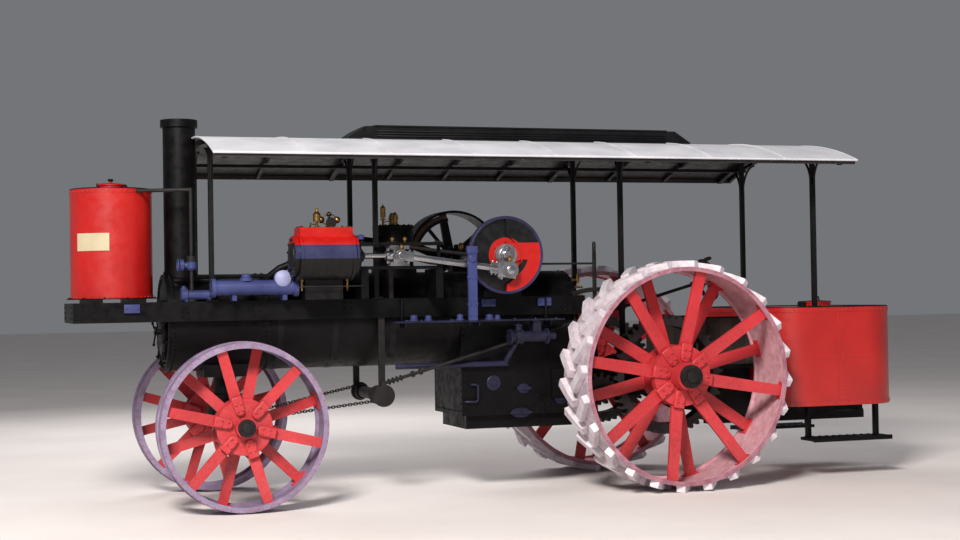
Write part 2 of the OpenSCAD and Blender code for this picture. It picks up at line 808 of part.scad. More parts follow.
// Cylinder with its steam chest and the bracket to the frame
module engine_cylinder() {
  color("crimson") union() {
    cyl_x(cylinder_y, engine_z, cylinder_back, cylinder_front, cylinder_r);
    cyl_x(cylinder_y, engine_z, cylinder_back - cover_t, cylinder_front + cover_t, cylinder_r - 30);
    block([cylinder_back + 60, chest_y, engine_z - 170],
          [cylinder_front - 60, cylinder_y - 60, chest_top]);
    block([cylinder_back + 12, cylinder_y - 130, engine_z],
          [cylinder_front - 12, cylinder_y + 130, cover_top]);
    block([cylinder_back + 80, frame_in + 15, frame_top + seat],
          [cylinder_front - 80, cylinder_y, engine_z - 150]);
  }
}

// Slide bars of the crosshead
module crosshead_guide() {
  y0 = cylinder_y - guide_w / 2;
  y1 = cylinder_y + guide_w / 2;
  low = engine_z - guide_half_h - guide_t;
  color("black") difference() {
    union() {
      block([guide_back, y0, low], [guide_front, y1, engine_z - guide_half_h]);
      block([guide_back, y0, engine_z + guide_half_h],
            [guide_front, y1, engine_z + guide_half_h + guide_t]);
      cyl_x(cylinder_y, engine_z, guide_front - 24, guide_front, 150);
      block([guide_back, y0, low], [guide_back + 30, y0 + 22, engine_z + guide_half_h + 1]);
      for (x = [guide_back, guide_front - 110])
        block([x, frame_in + 15, frame_top + seat], [x + 70, y1, low + 1]);
    }
    cyl_x(cylinder_y, engine_z, guide_front - 50, guide_front + 1, piston_rod_r + 8);
  }
}

// Crosshead, with its pin and the piston rod
module crosshead() {
  half = 45;
  slide_z = guide_half_h - seat;
  color("silver") union() {
    for (s = [0, 1]) translate([0, 0, engine_z]) mirror([0, 0, s])
      block([cross_x - 90, cylinder_y - half, 60], [cross_x + 90, cylinder_y + half, slide_z]);
    block([cross_x - 50, cylinder_y - half, engine_z - 61],
          [cross_x + 60, cylinder_y + half, engine_z + 61]);
    cyl_y(cross_x, engine_z, cylinder_y, rod_y - rod_t / 2 - gap, wrist_pin_r);
    cyl_x(cylinder_y, engine_z, cross_x, guide_front, piston_rod_r);
  }
}

// Connecting rod: its front eye stands in line with the crosshead's pin
module connecting_rod() {
  y0 = rod_y - rod_t / 2;
  y1 = rod_y + rod_t / 2;
  color("silver") difference() {
    union() {
      bar([crank_x, rod_y, crank_pin_z], [cross_x, rod_y, engine_z], 26);
      cyl_y(crank_x, crank_pin_z, y0, y1, 78);
      cyl_y(cross_x, engine_z, y0, y1, 52);
    }
    cyl_y(crank_x, crank_pin_z, y0 - 1, y1 + 1, crank_pin_r + run);
    cyl_y(cross_x, engine_z, y0 - 1, y1 + 1, wrist_pin_r + 1);
  }
}

// Crankshaft with its disc and pin
module crankshaft() {
  rim_w = 26;
  face = 34;
  cut_x = 110;
  cut_z = 45;
  color("crimson") union() {
    cyl_y(crank_x, engine_z, -flywheel_in - flywheel_w - 30, disc_in + 1, shaft_r);
    difference() {
      cyl_y(crank_x, engine_z, disc_in, disc_out, crank_disc_r);
      cyl_y(crank_x, engine_z, disc_out - face, disc_out + 1, crank_disc_r - rim_w);
    }
    difference() {
      cyl_y(crank_x, engine_z, disc_in + 1, disc_out, crank_disc_r - rim_w / 2);
      cyl_y(crank_x + cut_x, engine_z - cut_z, disc_in, disc_out + 1, crank_disc_r - cut_x);
      block([crank_x, disc_in, engine_z - crank_disc_r],
            [crank_x + crank_disc_r, disc_out + 1, engine_z + crank_disc_r]);
    }
    cyl_y(crank_x, engine_z, disc_in, disc_out, 105);
    cyl_y(crank_x, crank_pin_z, disc_in, disc_out + 20, 70);
    cyl_y(crank_x, crank_pin_z, disc_in, rod_y + rod_t / 2 + 14, crank_pin_r);
  }
}

module flywheel() {
  rim_t = 26;
  hub_r = 110;
  mid = flywheel_in + flywheel_w / 2;
  color("crimson") on_side(crank_x, engine_z, -1) difference() {
    union() {
      difference() {
        disc(flywheel_in, flywheel_in + flywheel_w, flywheel_r);
        disc(flywheel_in - 1, flywheel_in + flywheel_w + 1, flywheel_r - rim_t);
      }
      disc(mid - 80, mid + 80, hub_r);
      for (i = [0:5]) rotate([0, 0, 20 + 60 * i])
        spoke(hub_r - 20, mid, flywheel_r - rim_t / 2, mid, 96, 74, 40);
    }
    disc(flywheel_in - 1, flywheel_in + flywheel_w + 1, shaft_r + seat);
  }
}

// Bearings of the crankshaft over the boiler
module shaft_bearings() {
  y0 = bearing_in;
  y1 = bearing_out;
  color("black") difference() {
    union() {
      cyl_y(crank_x, engine_z, y0, y1, 92);
      cyl_y(crank_x, engine_z, -y1, -y0, 92);
      twin_block([crank_x - 110, y0, frame_top + seat], [crank_x + 110, y1, engine_z]);
      twin_block([crank_x - 190, frame_in, frame_top + seat], [crank_x + 190, y1, frame_top + 60]);
    }
    cyl_y(crank_x, engine_z, -y1 - 1, y1 + 1, shaft_r + run);
  }
}

// Eccentric, its rod, the rocker and the valve rod
module valve_gear() {
  ecc_x = crank_x + 45;
  ecc_y = post_y;
  rock_x = 2650;
  rock_z = engine_z + 110;
  valve_y = chest_y + 30;
  color("silver") union() {
    difference() {
      cyl_y(ecc_x, engine_z, ecc_y - 28, ecc_y + 28, 128);
      cyl_y(crank_x, engine_z, ecc_y - 40, ecc_y + 40, shaft_r + gap);
    }
    bar([ecc_x + 110, ecc_y, engine_z], [rock_x, ecc_y, rock_z], 18);
    cyl_y(rock_x, rock_z, ecc_y - 30, valve_y + 30, 26);
    block([rock_x - 20, ecc_y - 20, frame_top + seat], [rock_x + 20, ecc_y + 20, rock_z]);
    bar([rock_x, valve_y, rock_z], [cylinder_back + 60 - seat, valve_y, rock_z], 15);
  }
}

module governor() {
  x = cylinder_back + 160;
  y = chest_y + 65;
  z = chest_top + seat;
  arm = 75;
  color("goldenrod") union() {
    translate([x, y, z]) {
      disc(0, 60, 46);
      disc(50, 230, 20);
      disc(215, 240, 34);
      for (s = [-1, 1]) {
        translate([s * arm, 0, 170]) sphere(r = 32);
        bar([0, 0, 222], [s * arm, 0, 170], 9);
      }
    }
  }
}

module feedwater_heater() {
  x0 = cylinder_front - 30;
  x1 = x0 + 770;
  y = post_y + 145;
  heater_r = 68;
  z = frame_top + heater_r + 49;
  color("lightsteelblue") union() {
    cyl_x(y, z, x0, x1, heater_r);
    for (x = [x0 - 10, x1 - 30]) cyl_x(y, z, x, x + 40, heater_r + 16);
    for (x = [x0 + 90, x1 - 220])
      block([x, frame_in + 20, frame_top + seat], [x + 40, y + 20, z - 40]);
  }
}

module feed_pump() {
  x0 = step_back + 80;
  y = step_out - 60;
  z = step_top - step_t - 150;
  pipe_y = post_y;
  pipe_z = barrel_z - barrel_r + 5;
  pipe_r = 28;
  color("lightsteelblue") union() {
    cyl_x(y, z, x0, x0 + 90, 34);
    cyl_x(y, z, x0 + 80, x0 + 460, 52);
    cyl_x(y, z, x0 + 340, x0 + 400, 70);
    block([x0 + 150, y - 60, z + 20], [x0 + 230, y + 30, step_top - step_t - seat]);
    bar([x0 + 400, pipe_y, pipe_z], [step_front - 80, pipe_y, pipe_z], pipe_r);
    bar([x0 + 430, pipe_y, pipe_z], [x0 + 370, y, z - 20], pipe_r - 4);
  }
}

// Gears between the crankshaft and the countershaft, out of reach of the open clutch
module train_gear(x, z, teeth, turn, hub_r, holes) {
  pitch = train_module * teeth / 2;
  web = 24;
  inside = pitch - 75;
  translate([x, -train_in, z]) rotate([90, 0, 0]) difference() {
    rotate([0, 0, turn]) linear_extrude(train_w) polygon(gear_points(train_module, teeth));
    if (holes > 0) {
      for (z0 = [-1, (train_w + web) / 2]) difference() {
        disc(z0, z0 + (train_w - web) / 2 + 1, inside);
        disc(z0 - 1, z0 + train_w, hub_r);
      }
      for (i = [0:holes - 1]) rotate([0, 0, i * 360 / holes])
        translate([(inside + hub_r) / 2, 0, 0]) disc(-1, train_w + 1, (inside - hub_r) * 0.3);
    }
  }
}

module drive_gears() {
  y0 = -train_in - train_w;
  y1 = -train_in;
  color("dimgray") difference() {
    union() {
      train_gear(crank_x, engine_z, crank_teeth, angle_a, shaft_r, 0);
      train_gear(middle_x, middle_z, middle_teeth, middle_turn, 90, 6);
      train_gear(counter_x, counter_z, counter_teeth, counter_turn, 90, 5);
      cyl_y(middle_x, middle_z, y0 - 20, -frame_out - seat, 60);
    }
    cyl_y(crank_x, engine_z, y0 - 1, y1 + 1, shaft_r + run);
    cyl_y(counter_x, counter_z, y0 - 1, y1 + 1, counter_r + run);
  }
}

// Steering column, its long shaft and the chain roll under the boiler
module steering_gear() {
  hang_y = post_y;
  stand_x = steer_wheel_x + 150;
  slope = (steer_wheel_z - roll_z - 115) / (roll_x - steer_wheel_x);
  color("black") union() {
    cyl_y(roll_x, roll_z, -hang_y, column_y, 30);
    cyl_y(roll_x, roll_z, -chain_y - 90, chain_y + 90, roll_r);
    for (s = [-1, 1]) cyl_y(roll_x, roll_z, s * (chain_y + 90) - 8, s * (chain_y + 90) + 8, roll_r + 35);
    twin_block([roll_x - 30, hang_y - 15, roll_z - 60], [roll_x + 30, hang_y + 15, frame_bottom - seat]);
    cyl_y(roll_x, roll_z, column_y - 18, column_y + 12, 95);
    bar([steer_wheel_x, column_y, steer_wheel_z], [roll_x, column_y, roll_z + 115], 16);
    block([roll_x - 20, hang_y, roll_z + 80], [roll_x + 20, column_y + 20, roll_z + 140]);
    block([stand_x - 14, column_y - 14, floor_top + seat],
          [stand_x + 14, column_y + 14, steer_wheel_z - slope * 150]);
    translate([steer_wheel_x, column_y, steer_wheel_z]) rotate([0, -90 + atan(slope), 0]) {
      difference() {
        disc(-14, 14, 215);
        disc(-15, 15, 188);
      }
      for (a = [0, 60, 120]) rotate([0, 0, a]) translate([-200, -12, -6]) cube([400, 24, 12]);
      disc(-24, 24, 34);
    }
  }
}

// Steering chains, as far as they stay still beside the turning axle
module steering_chains() {
  x0 = roll_x + roll_r + 0.8;
  x1 = wheelbase - 390;
  links = 16;
  step = (x1 - x0) / links;
  slope = atan2(roll_z - front_axle_z, wheelbase - roll_x);
  wide = 26;
  thin = 10;
  color("dimgray") for (s = [-1, 1]) translate([x0, s * chain_y, roll_z]) rotate([0, slope, 0])
    for (i = [0:links - 1]) translate([i * step, 0, 0])
      if (i % 2 == 0) block([0, -wide / 2, -thin / 2], [step + 1, wide / 2, thin / 2]);
      else block([0, -thin / 2, -wide / 2], [step + 1, thin / 2, wide / 2]);
}

// Levers at the driver's place
module hand_levers() {
  foot = floor_top + seat;
  color("silver") for (i = [0:2]) translate([500 - 60 * i, 20 * i - 560, foot]) {
    disc(0, 40, 20);
    bar([0, 0, 36], [60, 0, 820], 13);
  }
}

// Everything is centred on the origin along X
module at_centre() {
  translate([x_shift, 0, 0]) children();
}

at_centre() boiler_barrel();
at_centre() smokebox();
at_centre() smokebox_door();
at_centre() firebox();
at_centre() fire_door();
at_centre() smokestack();
at_centre() steam_dome();
at_centre() side_frames();
at_centre() side_step();
at_centre() front_pedestal();
at_centre() front_tank();
at_centre() tank_pipe();
at_centre() rear_frame();
at_centre() drawbar();
at_centre() rear_tank();
at_centre() platform();
at_centre() rear_axle();
at_centre() canopy_roof();
at_centre() roof_ridge_vent();
at_centre() canopy_posts();
at_centre() engine_cylinder();
at_centre() crosshead_guide();
at_centre() crosshead();
at_centre() connecting_rod();
at_centre() shaft_bearings();
at_centre() valve_gear();
at_centre() governor();
at_centre() feedwater_heater();
at_centre() feed_pump();
at_centre() drive_gears();
at_centre() steering_gear();
at_centre() steering_chains();
at_centre() front_axle();
at_centre() front_rim(1);  // front_rim_left
at_centre() front_rim(-1);  // front_rim_right
at_centre() front_spider(1);  // front_spider_left
at_centre() front_spider(-1);  // front_spider_right
at_centre() rear_rim(1);  // rear_rim_left
at_centre() rear_rim(-1);  // rear_rim_right
at_centre() rear_spider(1);  // rear_spider_left
at_centre() rear_spider(-1);  // rear_spider_right
at_centre() pinion(1);  // pinion_left
at_centre() pinion(-1);  // pinion_right
at_centre() crankshaft();
at_centre() flywheel();
at_centre() hand_levers();
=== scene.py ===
import math
from itertools import product

import bmesh
import bpy
from mathutils import Matrix, Vector


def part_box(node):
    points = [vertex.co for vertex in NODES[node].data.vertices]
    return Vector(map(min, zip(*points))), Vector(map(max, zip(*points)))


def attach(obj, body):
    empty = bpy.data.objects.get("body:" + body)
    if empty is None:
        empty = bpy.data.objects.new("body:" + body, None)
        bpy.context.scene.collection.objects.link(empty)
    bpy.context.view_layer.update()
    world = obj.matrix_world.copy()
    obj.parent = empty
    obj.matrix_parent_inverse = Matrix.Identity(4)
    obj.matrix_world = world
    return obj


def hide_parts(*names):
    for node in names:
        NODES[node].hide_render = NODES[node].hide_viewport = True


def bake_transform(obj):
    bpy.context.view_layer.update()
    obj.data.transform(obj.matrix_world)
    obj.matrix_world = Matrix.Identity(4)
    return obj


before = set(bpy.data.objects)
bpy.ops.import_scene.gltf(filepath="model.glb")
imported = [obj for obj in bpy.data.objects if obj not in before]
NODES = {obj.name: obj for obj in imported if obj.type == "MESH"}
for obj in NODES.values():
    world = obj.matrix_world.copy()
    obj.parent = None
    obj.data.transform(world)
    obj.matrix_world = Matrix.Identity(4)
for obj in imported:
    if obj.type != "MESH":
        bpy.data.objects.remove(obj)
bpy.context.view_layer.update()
SHIFT = -1.43  # X of the rear axle; places below are given from it, in metres


def P(x, y, z):
    """A point given from the rear axle, in the frame of the model."""
    return Vector((x + SHIFT, y, z))


# Sizes that come from the frame, given from the rear axle


def span(node):
    """Lowest and highest corner of a node, with X from the rear axle."""
    low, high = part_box(node)
    back = Vector((SHIFT, 0, 0))
    return low - back, high - back


def middle(node):
    low, high = span(node)
    return (low + high) / 2


SIDES = (("left", 1), ("right", -1))
BEARING_Y = 0.61  # middle of the shaft's bearings
VALVE_Y = 0.575  # middle of the valve's rod and chest
PLATE_Z = 1.66  # the frame's plate covers the firebox from here up
REAR_Z = middle("rear_rim_left").z
LUG_H = 0.06
REAR_R = span("rear_rim_left")[1].z - REAR_Z - LUG_H
REAR_IN, REAR_OUT = (corner.y for corner in span("rear_rim_left"))
FRONT_X = middle("front_rim_left").x
FRONT_Z = middle("front_rim_left").z
FRONT_R = span("front_rim_left")[1].z - FRONT_Z
FRONT_IN, FRONT_OUT = (corner.y for corner in span("front_rim_left"))
CRANK_X = middle("flywheel").x
ENGINE_Z = middle("flywheel").z
THROW = 0.145
DISC_R = 0.368
DISC_OUT = 0.805
WEB_OUT = DISC_OUT - 0.032  # face of the disc behind its raised weight
HUB_R = 0.106
PIN_BOSS_R = 0.0705
EAVE_Z = span("canopy_roof")[0].z + 0.045
X_WAY = Vector((1, 0, 0))
LEFT = Vector((0, 1, 0))
UP = Vector((0, 0, 1))


# Materials

FAR = 9.0  # an upper limit that is past every part
TINY = 0.003  # play on both sides of a face that a test looks for


class Nodes:
    """A small helper to lay out a material's nodes."""

    def __init__(self, name):
        self.mat = bpy.data.materials.new(name)
        self.mat.use_nodes = True
        self.tree = self.mat.node_tree
        self.bsdf = self.tree.nodes["Principled BSDF"]
        self.coord = self.add("ShaderNodeTexCoord")
        self.at = self.coord.outputs["Object"]

    def add(self, kind, **props):
        node = self.tree.nodes.new(kind)
        for key, value in props.items():
            setattr(node, key, value)
        return node

    def feed(self, socket, value):
        """Set a socket to a number or a colour, or link it."""
        if isinstance(value, (int, float)):
            socket.default_value = value
        elif isinstance(value, tuple):
            socket.default_value = (*value, 1.0)
        else:
            self.tree.links.new(value, socket)

    def parts(self, vector):
        """X, Y and Z of a vector."""
        node = self.add("ShaderNodeSeparateXYZ")
        self.feed(node.inputs[0], vector)
        return node.outputs

    def noise(self, scale, detail=4.0, rough=0.55, stretch=None, distortion=0.0):
        at = self.at
        if stretch is not None:
            mapping = self.add("ShaderNodeMapping")
            mapping.inputs["Scale"].default_value = stretch
            self.feed(mapping.inputs["Vector"], at)
            at = mapping.outputs["Vector"]
        node = self.add("ShaderNodeTexNoise")
        for key, value in (("Scale", scale), ("Detail", detail), ("Roughness", rough),
                           ("Distortion", distortion), ("Vector", at)):
            self.feed(node.inputs[key], value)
        return node.outputs["Fac"]

    def ramp(self, fac, low, high, a=0.0, b=1.0):
        """a up to low and b from high on, both numbers or both colours."""
        node = self.add("ShaderNodeValToRGB")
        for stop, place, value in zip(node.color_ramp.elements, (low, high), (a, b)):
            stop.position = place
            stop.color = (*value, 1.0) if isinstance(value, tuple) else (value, value, value, 1.0)
        self.feed(node.inputs["Fac"], fac)
        return node.outputs["Color"]

    def mix(self, fac, a, b):
        node = self.add("ShaderNodeMix", data_type="RGBA")
        for index, value in ((0, fac), (6, a), (7, b)):
            self.feed(node.inputs[index], value)
        return node.outputs[2]

    def math(self, op, a, b=0.0):
        node = self.add("ShaderNodeMath", operation=op)
        self.feed(node.inputs[0], a)
        self.feed(node.inputs[1], b)
        return node.outputs[0]

    def place(self):
        """X from the rear axle, Y and Z of a point of the surface."""
        at = self.parts(self.at)
        return self.math("SUBTRACT", at["X"], SHIFT), at["Y"], at["Z"]

    def from_axis(self, x, z):
        """Distance from an axis along Y through x and z."""
        px, _, pz = self.place()
        dx = self.math("SUBTRACT", px, x)
        dz = self.math("SUBTRACT", pz, z)
        squares = self.math("ADD", self.math("MULTIPLY", dx, dx), self.math("MULTIPLY", dz, dz))
        return self.math("SQRT", squares)

    def aside(self):
        """Distance from the middle plane."""
        return self.math("ABSOLUTE", self.place()[1])

    def facing_down(self):
        return self.math("LESS_THAN", self.parts(self.coord.outputs["Normal"])["Z"], -0.2)

    def all_of(self, *tests):
        """1 where every test holds; a test is (value, low, high)."""
        out = None
        for value, low, high in tests:
            inside = self.math("MULTIPLY", self.math("GREATER_THAN", value, low),
                               self.math("LESS_THAN", value, high))
            out = inside if out is None else self.math("MULTIPLY", out, inside)
        return out

    def height(self, low, high):
        """0 at and under low, 1 at and over high, by the height in the frame."""
        node = self.add("ShaderNodeMapRange")
        node.inputs["From Min"].default_value = low
        node.inputs["From Max"].default_value = high
        self.feed(node.inputs["Value"], self.parts(self.at)["Z"])
        return node.outputs[0]

    def bump(self, height, strength, distance):
        node = self.add("ShaderNodeBump")
        for key, value in (("Strength", strength), ("Distance", distance), ("Height", height)):
            self.feed(node.inputs[key], value)
        self.feed(self.bsdf.inputs["Normal"], node.outputs["Normal"])

    def done(self, color, rough, metallic=0.0, coat=0.0, shine=0.5):
        for key, value in (("Base Color", color), ("Roughness", rough), ("Metallic", metallic),
                           ("Coat Weight", coat), ("Coat Roughness", 0.2), ("Specular IOR Level", shine)):
            self.feed(self.bsdf.inputs[key], value)
        return self.mat


def two_tones(n, tones, scale=3.0):
    return n.ramp(n.noise(scale, 3.0), 0.3, 0.7, *tones)


def paint(name, tones, dust, dust_amount, rough=(0.32, 0.6), chip=None, coat=0.0, low=0.0, high=1.4,
          zones=(), grime=0.22, shine=0.5):
    """Old oil paint: two tones, fine grime, dust that thickens towards the ground, and small chips.

    zones lists parts of the surface with tones of their own, some of them painted shade, each as (test,
    tones)."""
    n = Nodes(name)
    shade = two_tones(n, tones)
    fine = n.noise(46.0, 6.0, 0.6)
    stain = n.ramp(n.noise(6.0, 6.0, 0.7), 0.5, 0.8)
    shade = n.mix(n.math("MULTIPLY", stain, grime), shade, tuple(c * 0.3 for c in tones[0]))
    near_ground = n.math("SUBTRACT", 1.0, n.height(low, high))
    amount = n.math("ADD", n.math("MULTIPLY", near_ground, dust_amount), dust_amount * 0.15)
    veil = n.math("MULTIPLY", n.ramp(fine, 0.35, 0.7, 0.2, 1.0), amount)
    shade = n.mix(n.math("MINIMUM", veil, 0.85), shade, dust)
    for test, own in zones:
        shade = n.mix(test(n), shade, two_tones(n, own))
    if chip is not None:
        shade = n.mix(n.ramp(n.noise(24.0, 8.0, 0.7, distortion=0.4), 0.665, 0.685), shade, chip)
    n.bump(n.math("ADD", n.math("MULTIPLY", fine, 0.3), n.noise(5.0, 2.0)), 0.12, 0.004)
    return n.done(shade, n.ramp(n.noise(14.0, 4.0), 0.3, 0.7, *rough), coat=coat, shine=shine)


def iron(name, tones, rust, rust_amount, metallic, rough, dust=None, dust_amount=0.0, zones=(),
        shine=0.5):
    """Bare or worn iron with grain, rust and dust; zones as for paint."""
    n = Nodes(name)
    shade = two_tones(n, tones, 7.0)
    red = n.ramp(n.noise(12.0, 7.0, 0.68, distortion=0.3), 0.45, 0.68)
    shade = n.mix(n.math("MULTIPLY", red, rust_amount), shade, rust)
    grain = n.noise(70.0, 6.0, 0.65)
    if dust is not None:
        veil = n.ramp(n.noise(18.0, 6.0, 0.6), 0.35, 0.65)
        shade = n.mix(n.math("MULTIPLY", veil, dust_amount), shade, dust)
    for test, own in zones:
        shade = n.mix(test(n), shade, two_tones(n, own, 11.0))
    n.bump(n.math("ADD", grain, n.math("MULTIPLY", red, 0.6)), 0.35, 0.003)
    return n.done(shade, n.ramp(grain, 0.3, 0.7, *rough), metallic=metallic, shine=shine)


def steel(name, deep, bright, rough, stretch=(1.0, 14.0, 14.0)):
    """Bright machined metal with turning marks and an oil film."""
    n = Nodes(name)
    lines = n.noise(26.0, 4.0, 0.6, stretch=stretch)
    film = n.ramp(n.noise(16.0, 6.0, 0.7), 0.55, 0.8)
    shade = n.mix(n.math("MULTIPLY", film, 0.5), two_tones(n, (deep, bright), 8.0), (0.1, 0.07, 0.04))
    n.bump(lines, 0.08, 0.001)
    return n.done(shade, n.ramp(lines, 0.3, 0.7, *rough), metallic=1.0)


def boards(name, deep, bright, width):
    """Planks along Y: a joint line every width metres, grain along them, and one tone to each plank."""
    n = Nodes(name)
    across = n.math("DIVIDE", n.parts(n.at)["X"], width)
    white = n.add("ShaderNodeTexWhiteNoise", noise_dimensions="1D")
    n.feed(white.inputs["W"], n.math("FLOOR", across))
    grain = n.noise(9.0, 7.0, 0.62, stretch=(12.0, 1.0, 12.0), distortion=0.6)
    tone = n.math("ADD", n.math("MULTIPLY", grain, 0.75), n.math("MULTIPLY", white.outputs["Value"], 0.3))
    off_centre = n.math("ABSOLUTE", n.math("SUBTRACT", n.math("FRACT", across), 0.5))
    gap = n.ramp(off_centre, 0.46, 0.485)
    shade = n.mix(gap, n.ramp(tone, 0.3, 0.75, deep, bright), tuple(c * 0.15 for c in deep))
    n.bump(n.math("SUBTRACT", n.math("MULTIPLY", grain, 0.4), gap), 0.5, 0.003)
    return n.done(shade, n.ramp(grain, 0.3, 0.7, 0.6, 0.85))


def bull_gear(n):
    """The toothed ring of a rear wheel."""
    return n.all_of((n.from_axis(0.0, REAR_Z), 0.462, 0.6), (n.aside(), 0.7, 0.9255))


def lugs(n):
    return n.all_of((n.from_axis(0.0, REAR_Z), REAR_R + TINY, 2.0))


def tread(n):
    return n.all_of((n.from_axis(0.0, REAR_Z), REAR_R - TINY, REAR_R + TINY))


def rim_edge(n):
    """The flat faces at both edges of a rear rim."""
    inner = n.math("LESS_THAN", n.aside(), REAR_IN + 0.002)
    outer = n.math("GREATER_THAN", n.aside(), REAR_OUT - 0.002)
    in_tread = n.math("LESS_THAN", n.from_axis(0.0, REAR_Z), REAR_R + TINY)
    return n.math("MULTIPLY", n.math("ADD", inner, outer), in_tread)


def roof_underside_shade(n):
    """Faces that look down under the roof, and the plates along its long edges under the eaves:
    near-black, painted shade over the dark boards.
    """
    plates = n.all_of((n.aside(), 0.0, 1.335), (n.place()[2], 0.0, EAVE_Z - 0.002))
    return n.math("MAXIMUM", n.facing_down(), plates)


def cylinder_top(n):
    return n.all_of((n.place()[2], ENGINE_Z + 0.1, FAR))


# the jacket's lower half, painted near-black: painted shade
def cylinder_shaded_foot(n):
    return n.all_of((n.place()[2], 0.0, ENGINE_Z - 0.025))


def brackets(n):
    """What carries the ledge on the frame's side."""
    return n.all_of((n.aside(), 0.0, 0.585))


def below_ledge_shade(n):
    """All below the top of the ledge under the engine, the ledge's sides and what hangs below them,
    painted a deeper blue as painted shade.
    """
    return n.all_of((n.place()[2], 0.0, 1.6535))


def crank_weight(n):
    """The raised weight of the crank disc, red only up to top: over it the weight is painted black, a
    painted shadow of the canopy.
    """
    ring = n.from_axis(CRANK_X, ENGINE_Z)
    boss = n.from_axis(CRANK_X, ENGINE_Z - THROW)
    x, y, z = n.place()
    outside_pin = (boss, PIN_BOSS_R, FAR)
    raised = (outside_pin, (y, WEB_OUT, FAR))
    # the red weight ends flat at top, the edge of a painted shadow of the canopy
    rim, top = DISC_R - 0.0262, ENGINE_Z + 0.115
    crescent = n.all_of((ring, 0.215, rim), (z, 0.0, top), *raised)
    arm = n.all_of((ring, HUB_R, rim), (x, 0.0, CRANK_X), (z, ENGINE_Z - 0.045, top), *raised)
    collar = n.all_of((ring, HUB_R, 0.165), outside_pin, (y, DISC_OUT - 0.045, FAR))
    return n.math("MAXIMUM", n.math("MAXIMUM", crescent, arm), collar)


def crank_bright(n):
    """The shaft, its end and the crank pin with its boss."""
    ring = n.from_axis(CRANK_X, ENGINE_Z)
    boss = n.from_axis(CRANK_X, ENGINE_Z - THROW)
    pin = n.all_of((n.place()[1], WEB_OUT, FAR), (boss, 0.0, PIN_BOSS_R))
    return n.math("MAXIMUM", n.all_of((ring, 0.0, HUB_R)), pin)


def crank_paint():
    """Disc face painted black as painted shade, its edge painted blue as a painted reflection of the sky,
    red weight, and bright shaft and pin.
    """
    n = Nodes("crank_disc")
    bright = crank_bright(n)
    edge = n.all_of((n.from_axis(CRANK_X, ENGINE_Z), DISC_R - 0.027, FAR))
    # the face painted black is painted shade, the blue edge a painted reflection of the sky
    shade = n.mix(edge, two_tones(n, NEAR_BLACK), two_tones(n, RIM_SKY_REFLECTION_BLUE))
    shade = n.mix(crank_weight(n), shade, two_tones(n, DEEP_RED))
    shade = n.mix(bright, shade, two_tones(n, ((0.3, 0.29, 0.3), (0.52, 0.51, 0.52))))
    n.bump(n.noise(46.0, 6.0, 0.6), 0.1, 0.002)
    return n.done(shade, n.ramp(n.noise(14.0, 4.0), 0.3, 0.7, 0.28, 0.5), metallic=bright)


def clear_glass():
    n = Nodes("gauge_glass")
    for key, value in (("Base Color", (0.9, 0.95, 0.95)), ("Roughness", 0.05),
            ("Transmission Weight", 0.9)):
        n.feed(n.bsdf.inputs[key], value)
    return n.mat


# Tones, each from dark to light

DEEP_RED = ((0.36, 0.004, 0.003), (0.48, 0.008, 0.005))
WHEEL_TONES = ((0.4, 0.006, 0.012), (0.58, 0.016, 0.024))
GEAR_BLACK = ((0.004, 0.004, 0.004), (0.014, 0.012, 0.012))
NEAR_BLACK = ((0.001, 0.001, 0.0013), (0.0033, 0.003, 0.0036))
TRIM_BLACK = ((0.002, 0.002, 0.0025), (0.008, 0.0075, 0.009))
SILVER = ((0.5152, 0.5152, 0.56), (0.7168, 0.7168, 0.7616))
# near-black under the roof: painted shade over the dark boards
UNDER_ROOF_SHADE = ((0.006, 0.006, 0.007), (0.02, 0.018, 0.018))
# a deeper blue below the ledge: painted shade
BLUE_IN_SHADE = ((0.005, 0.005, 0.016), (0.018, 0.017, 0.05))
# blue on the crank disc's edge: a painted reflection of the sky
RIM_SKY_REFLECTION_BLUE = ((0.01, 0.009, 0.034), (0.026, 0.022, 0.08))
BLUE_TONES = ((0.024, 0.032, 0.11), (0.046, 0.058, 0.185))
PALE_TONES = ((0.2, 0.21, 0.38), (0.34, 0.35, 0.56))
CYLINDER_BLUE = ((0.014, 0.016, 0.05), (0.034, 0.038, 0.1))
LUG_PALE = ((0.6, 0.53, 0.58), (0.82, 0.75, 0.8))
TREAD_PALE = ((0.34, 0.27, 0.31), (0.66, 0.56, 0.62))
EDGE_ROSE = ((0.26, 0.1, 0.14), (0.46, 0.22, 0.27))

# What two paints share

# the wheels' pink dust is dust and also a painted pink sheen
WHEEL_PAINT = dict(tones=WHEEL_TONES, dust=(0.52, 0.22, 0.22), dust_amount=0.26, rough=(0.34, 0.6),
                   chip=(0.12, 0.03, 0.02), high=2.2)
ROOF_PAINT = dict(tones=SILVER, dust=(0.42, 0.38, 0.34), dust_amount=0.05, rough=(0.35, 0.6),
                  chip=(0.4, 0.36, 0.33), low=3.0, high=3.5)
BLUE_PAINT = dict(tones=BLUE_TONES, dust=(0.14, 0.12, 0.14), dust_amount=0.04, chip=(0.02, 0.018, 0.024))

RED = paint("red_enamel", DEEP_RED, (0.3, 0.24, 0.2), 0.08, rough=(0.3, 0.5), chip=(0.08, 0.02, 0.015),
            coat=0.45)
WHEEL_RED = paint("wheel_red", **WHEEL_PAINT)
REAR_RED = paint("rear_wheel_red", **WHEEL_PAINT, zones=((bull_gear, GEAR_BLACK),))
BLACK = paint("boiler_black", NEAR_BLACK, (0.032, 0.025, 0.022), 0.06, rough=(0.3, 0.6),
              chip=(0.014, 0.009, 0.007), shine=0.16)
ROOF = paint("roof_silver", **ROOF_PAINT)
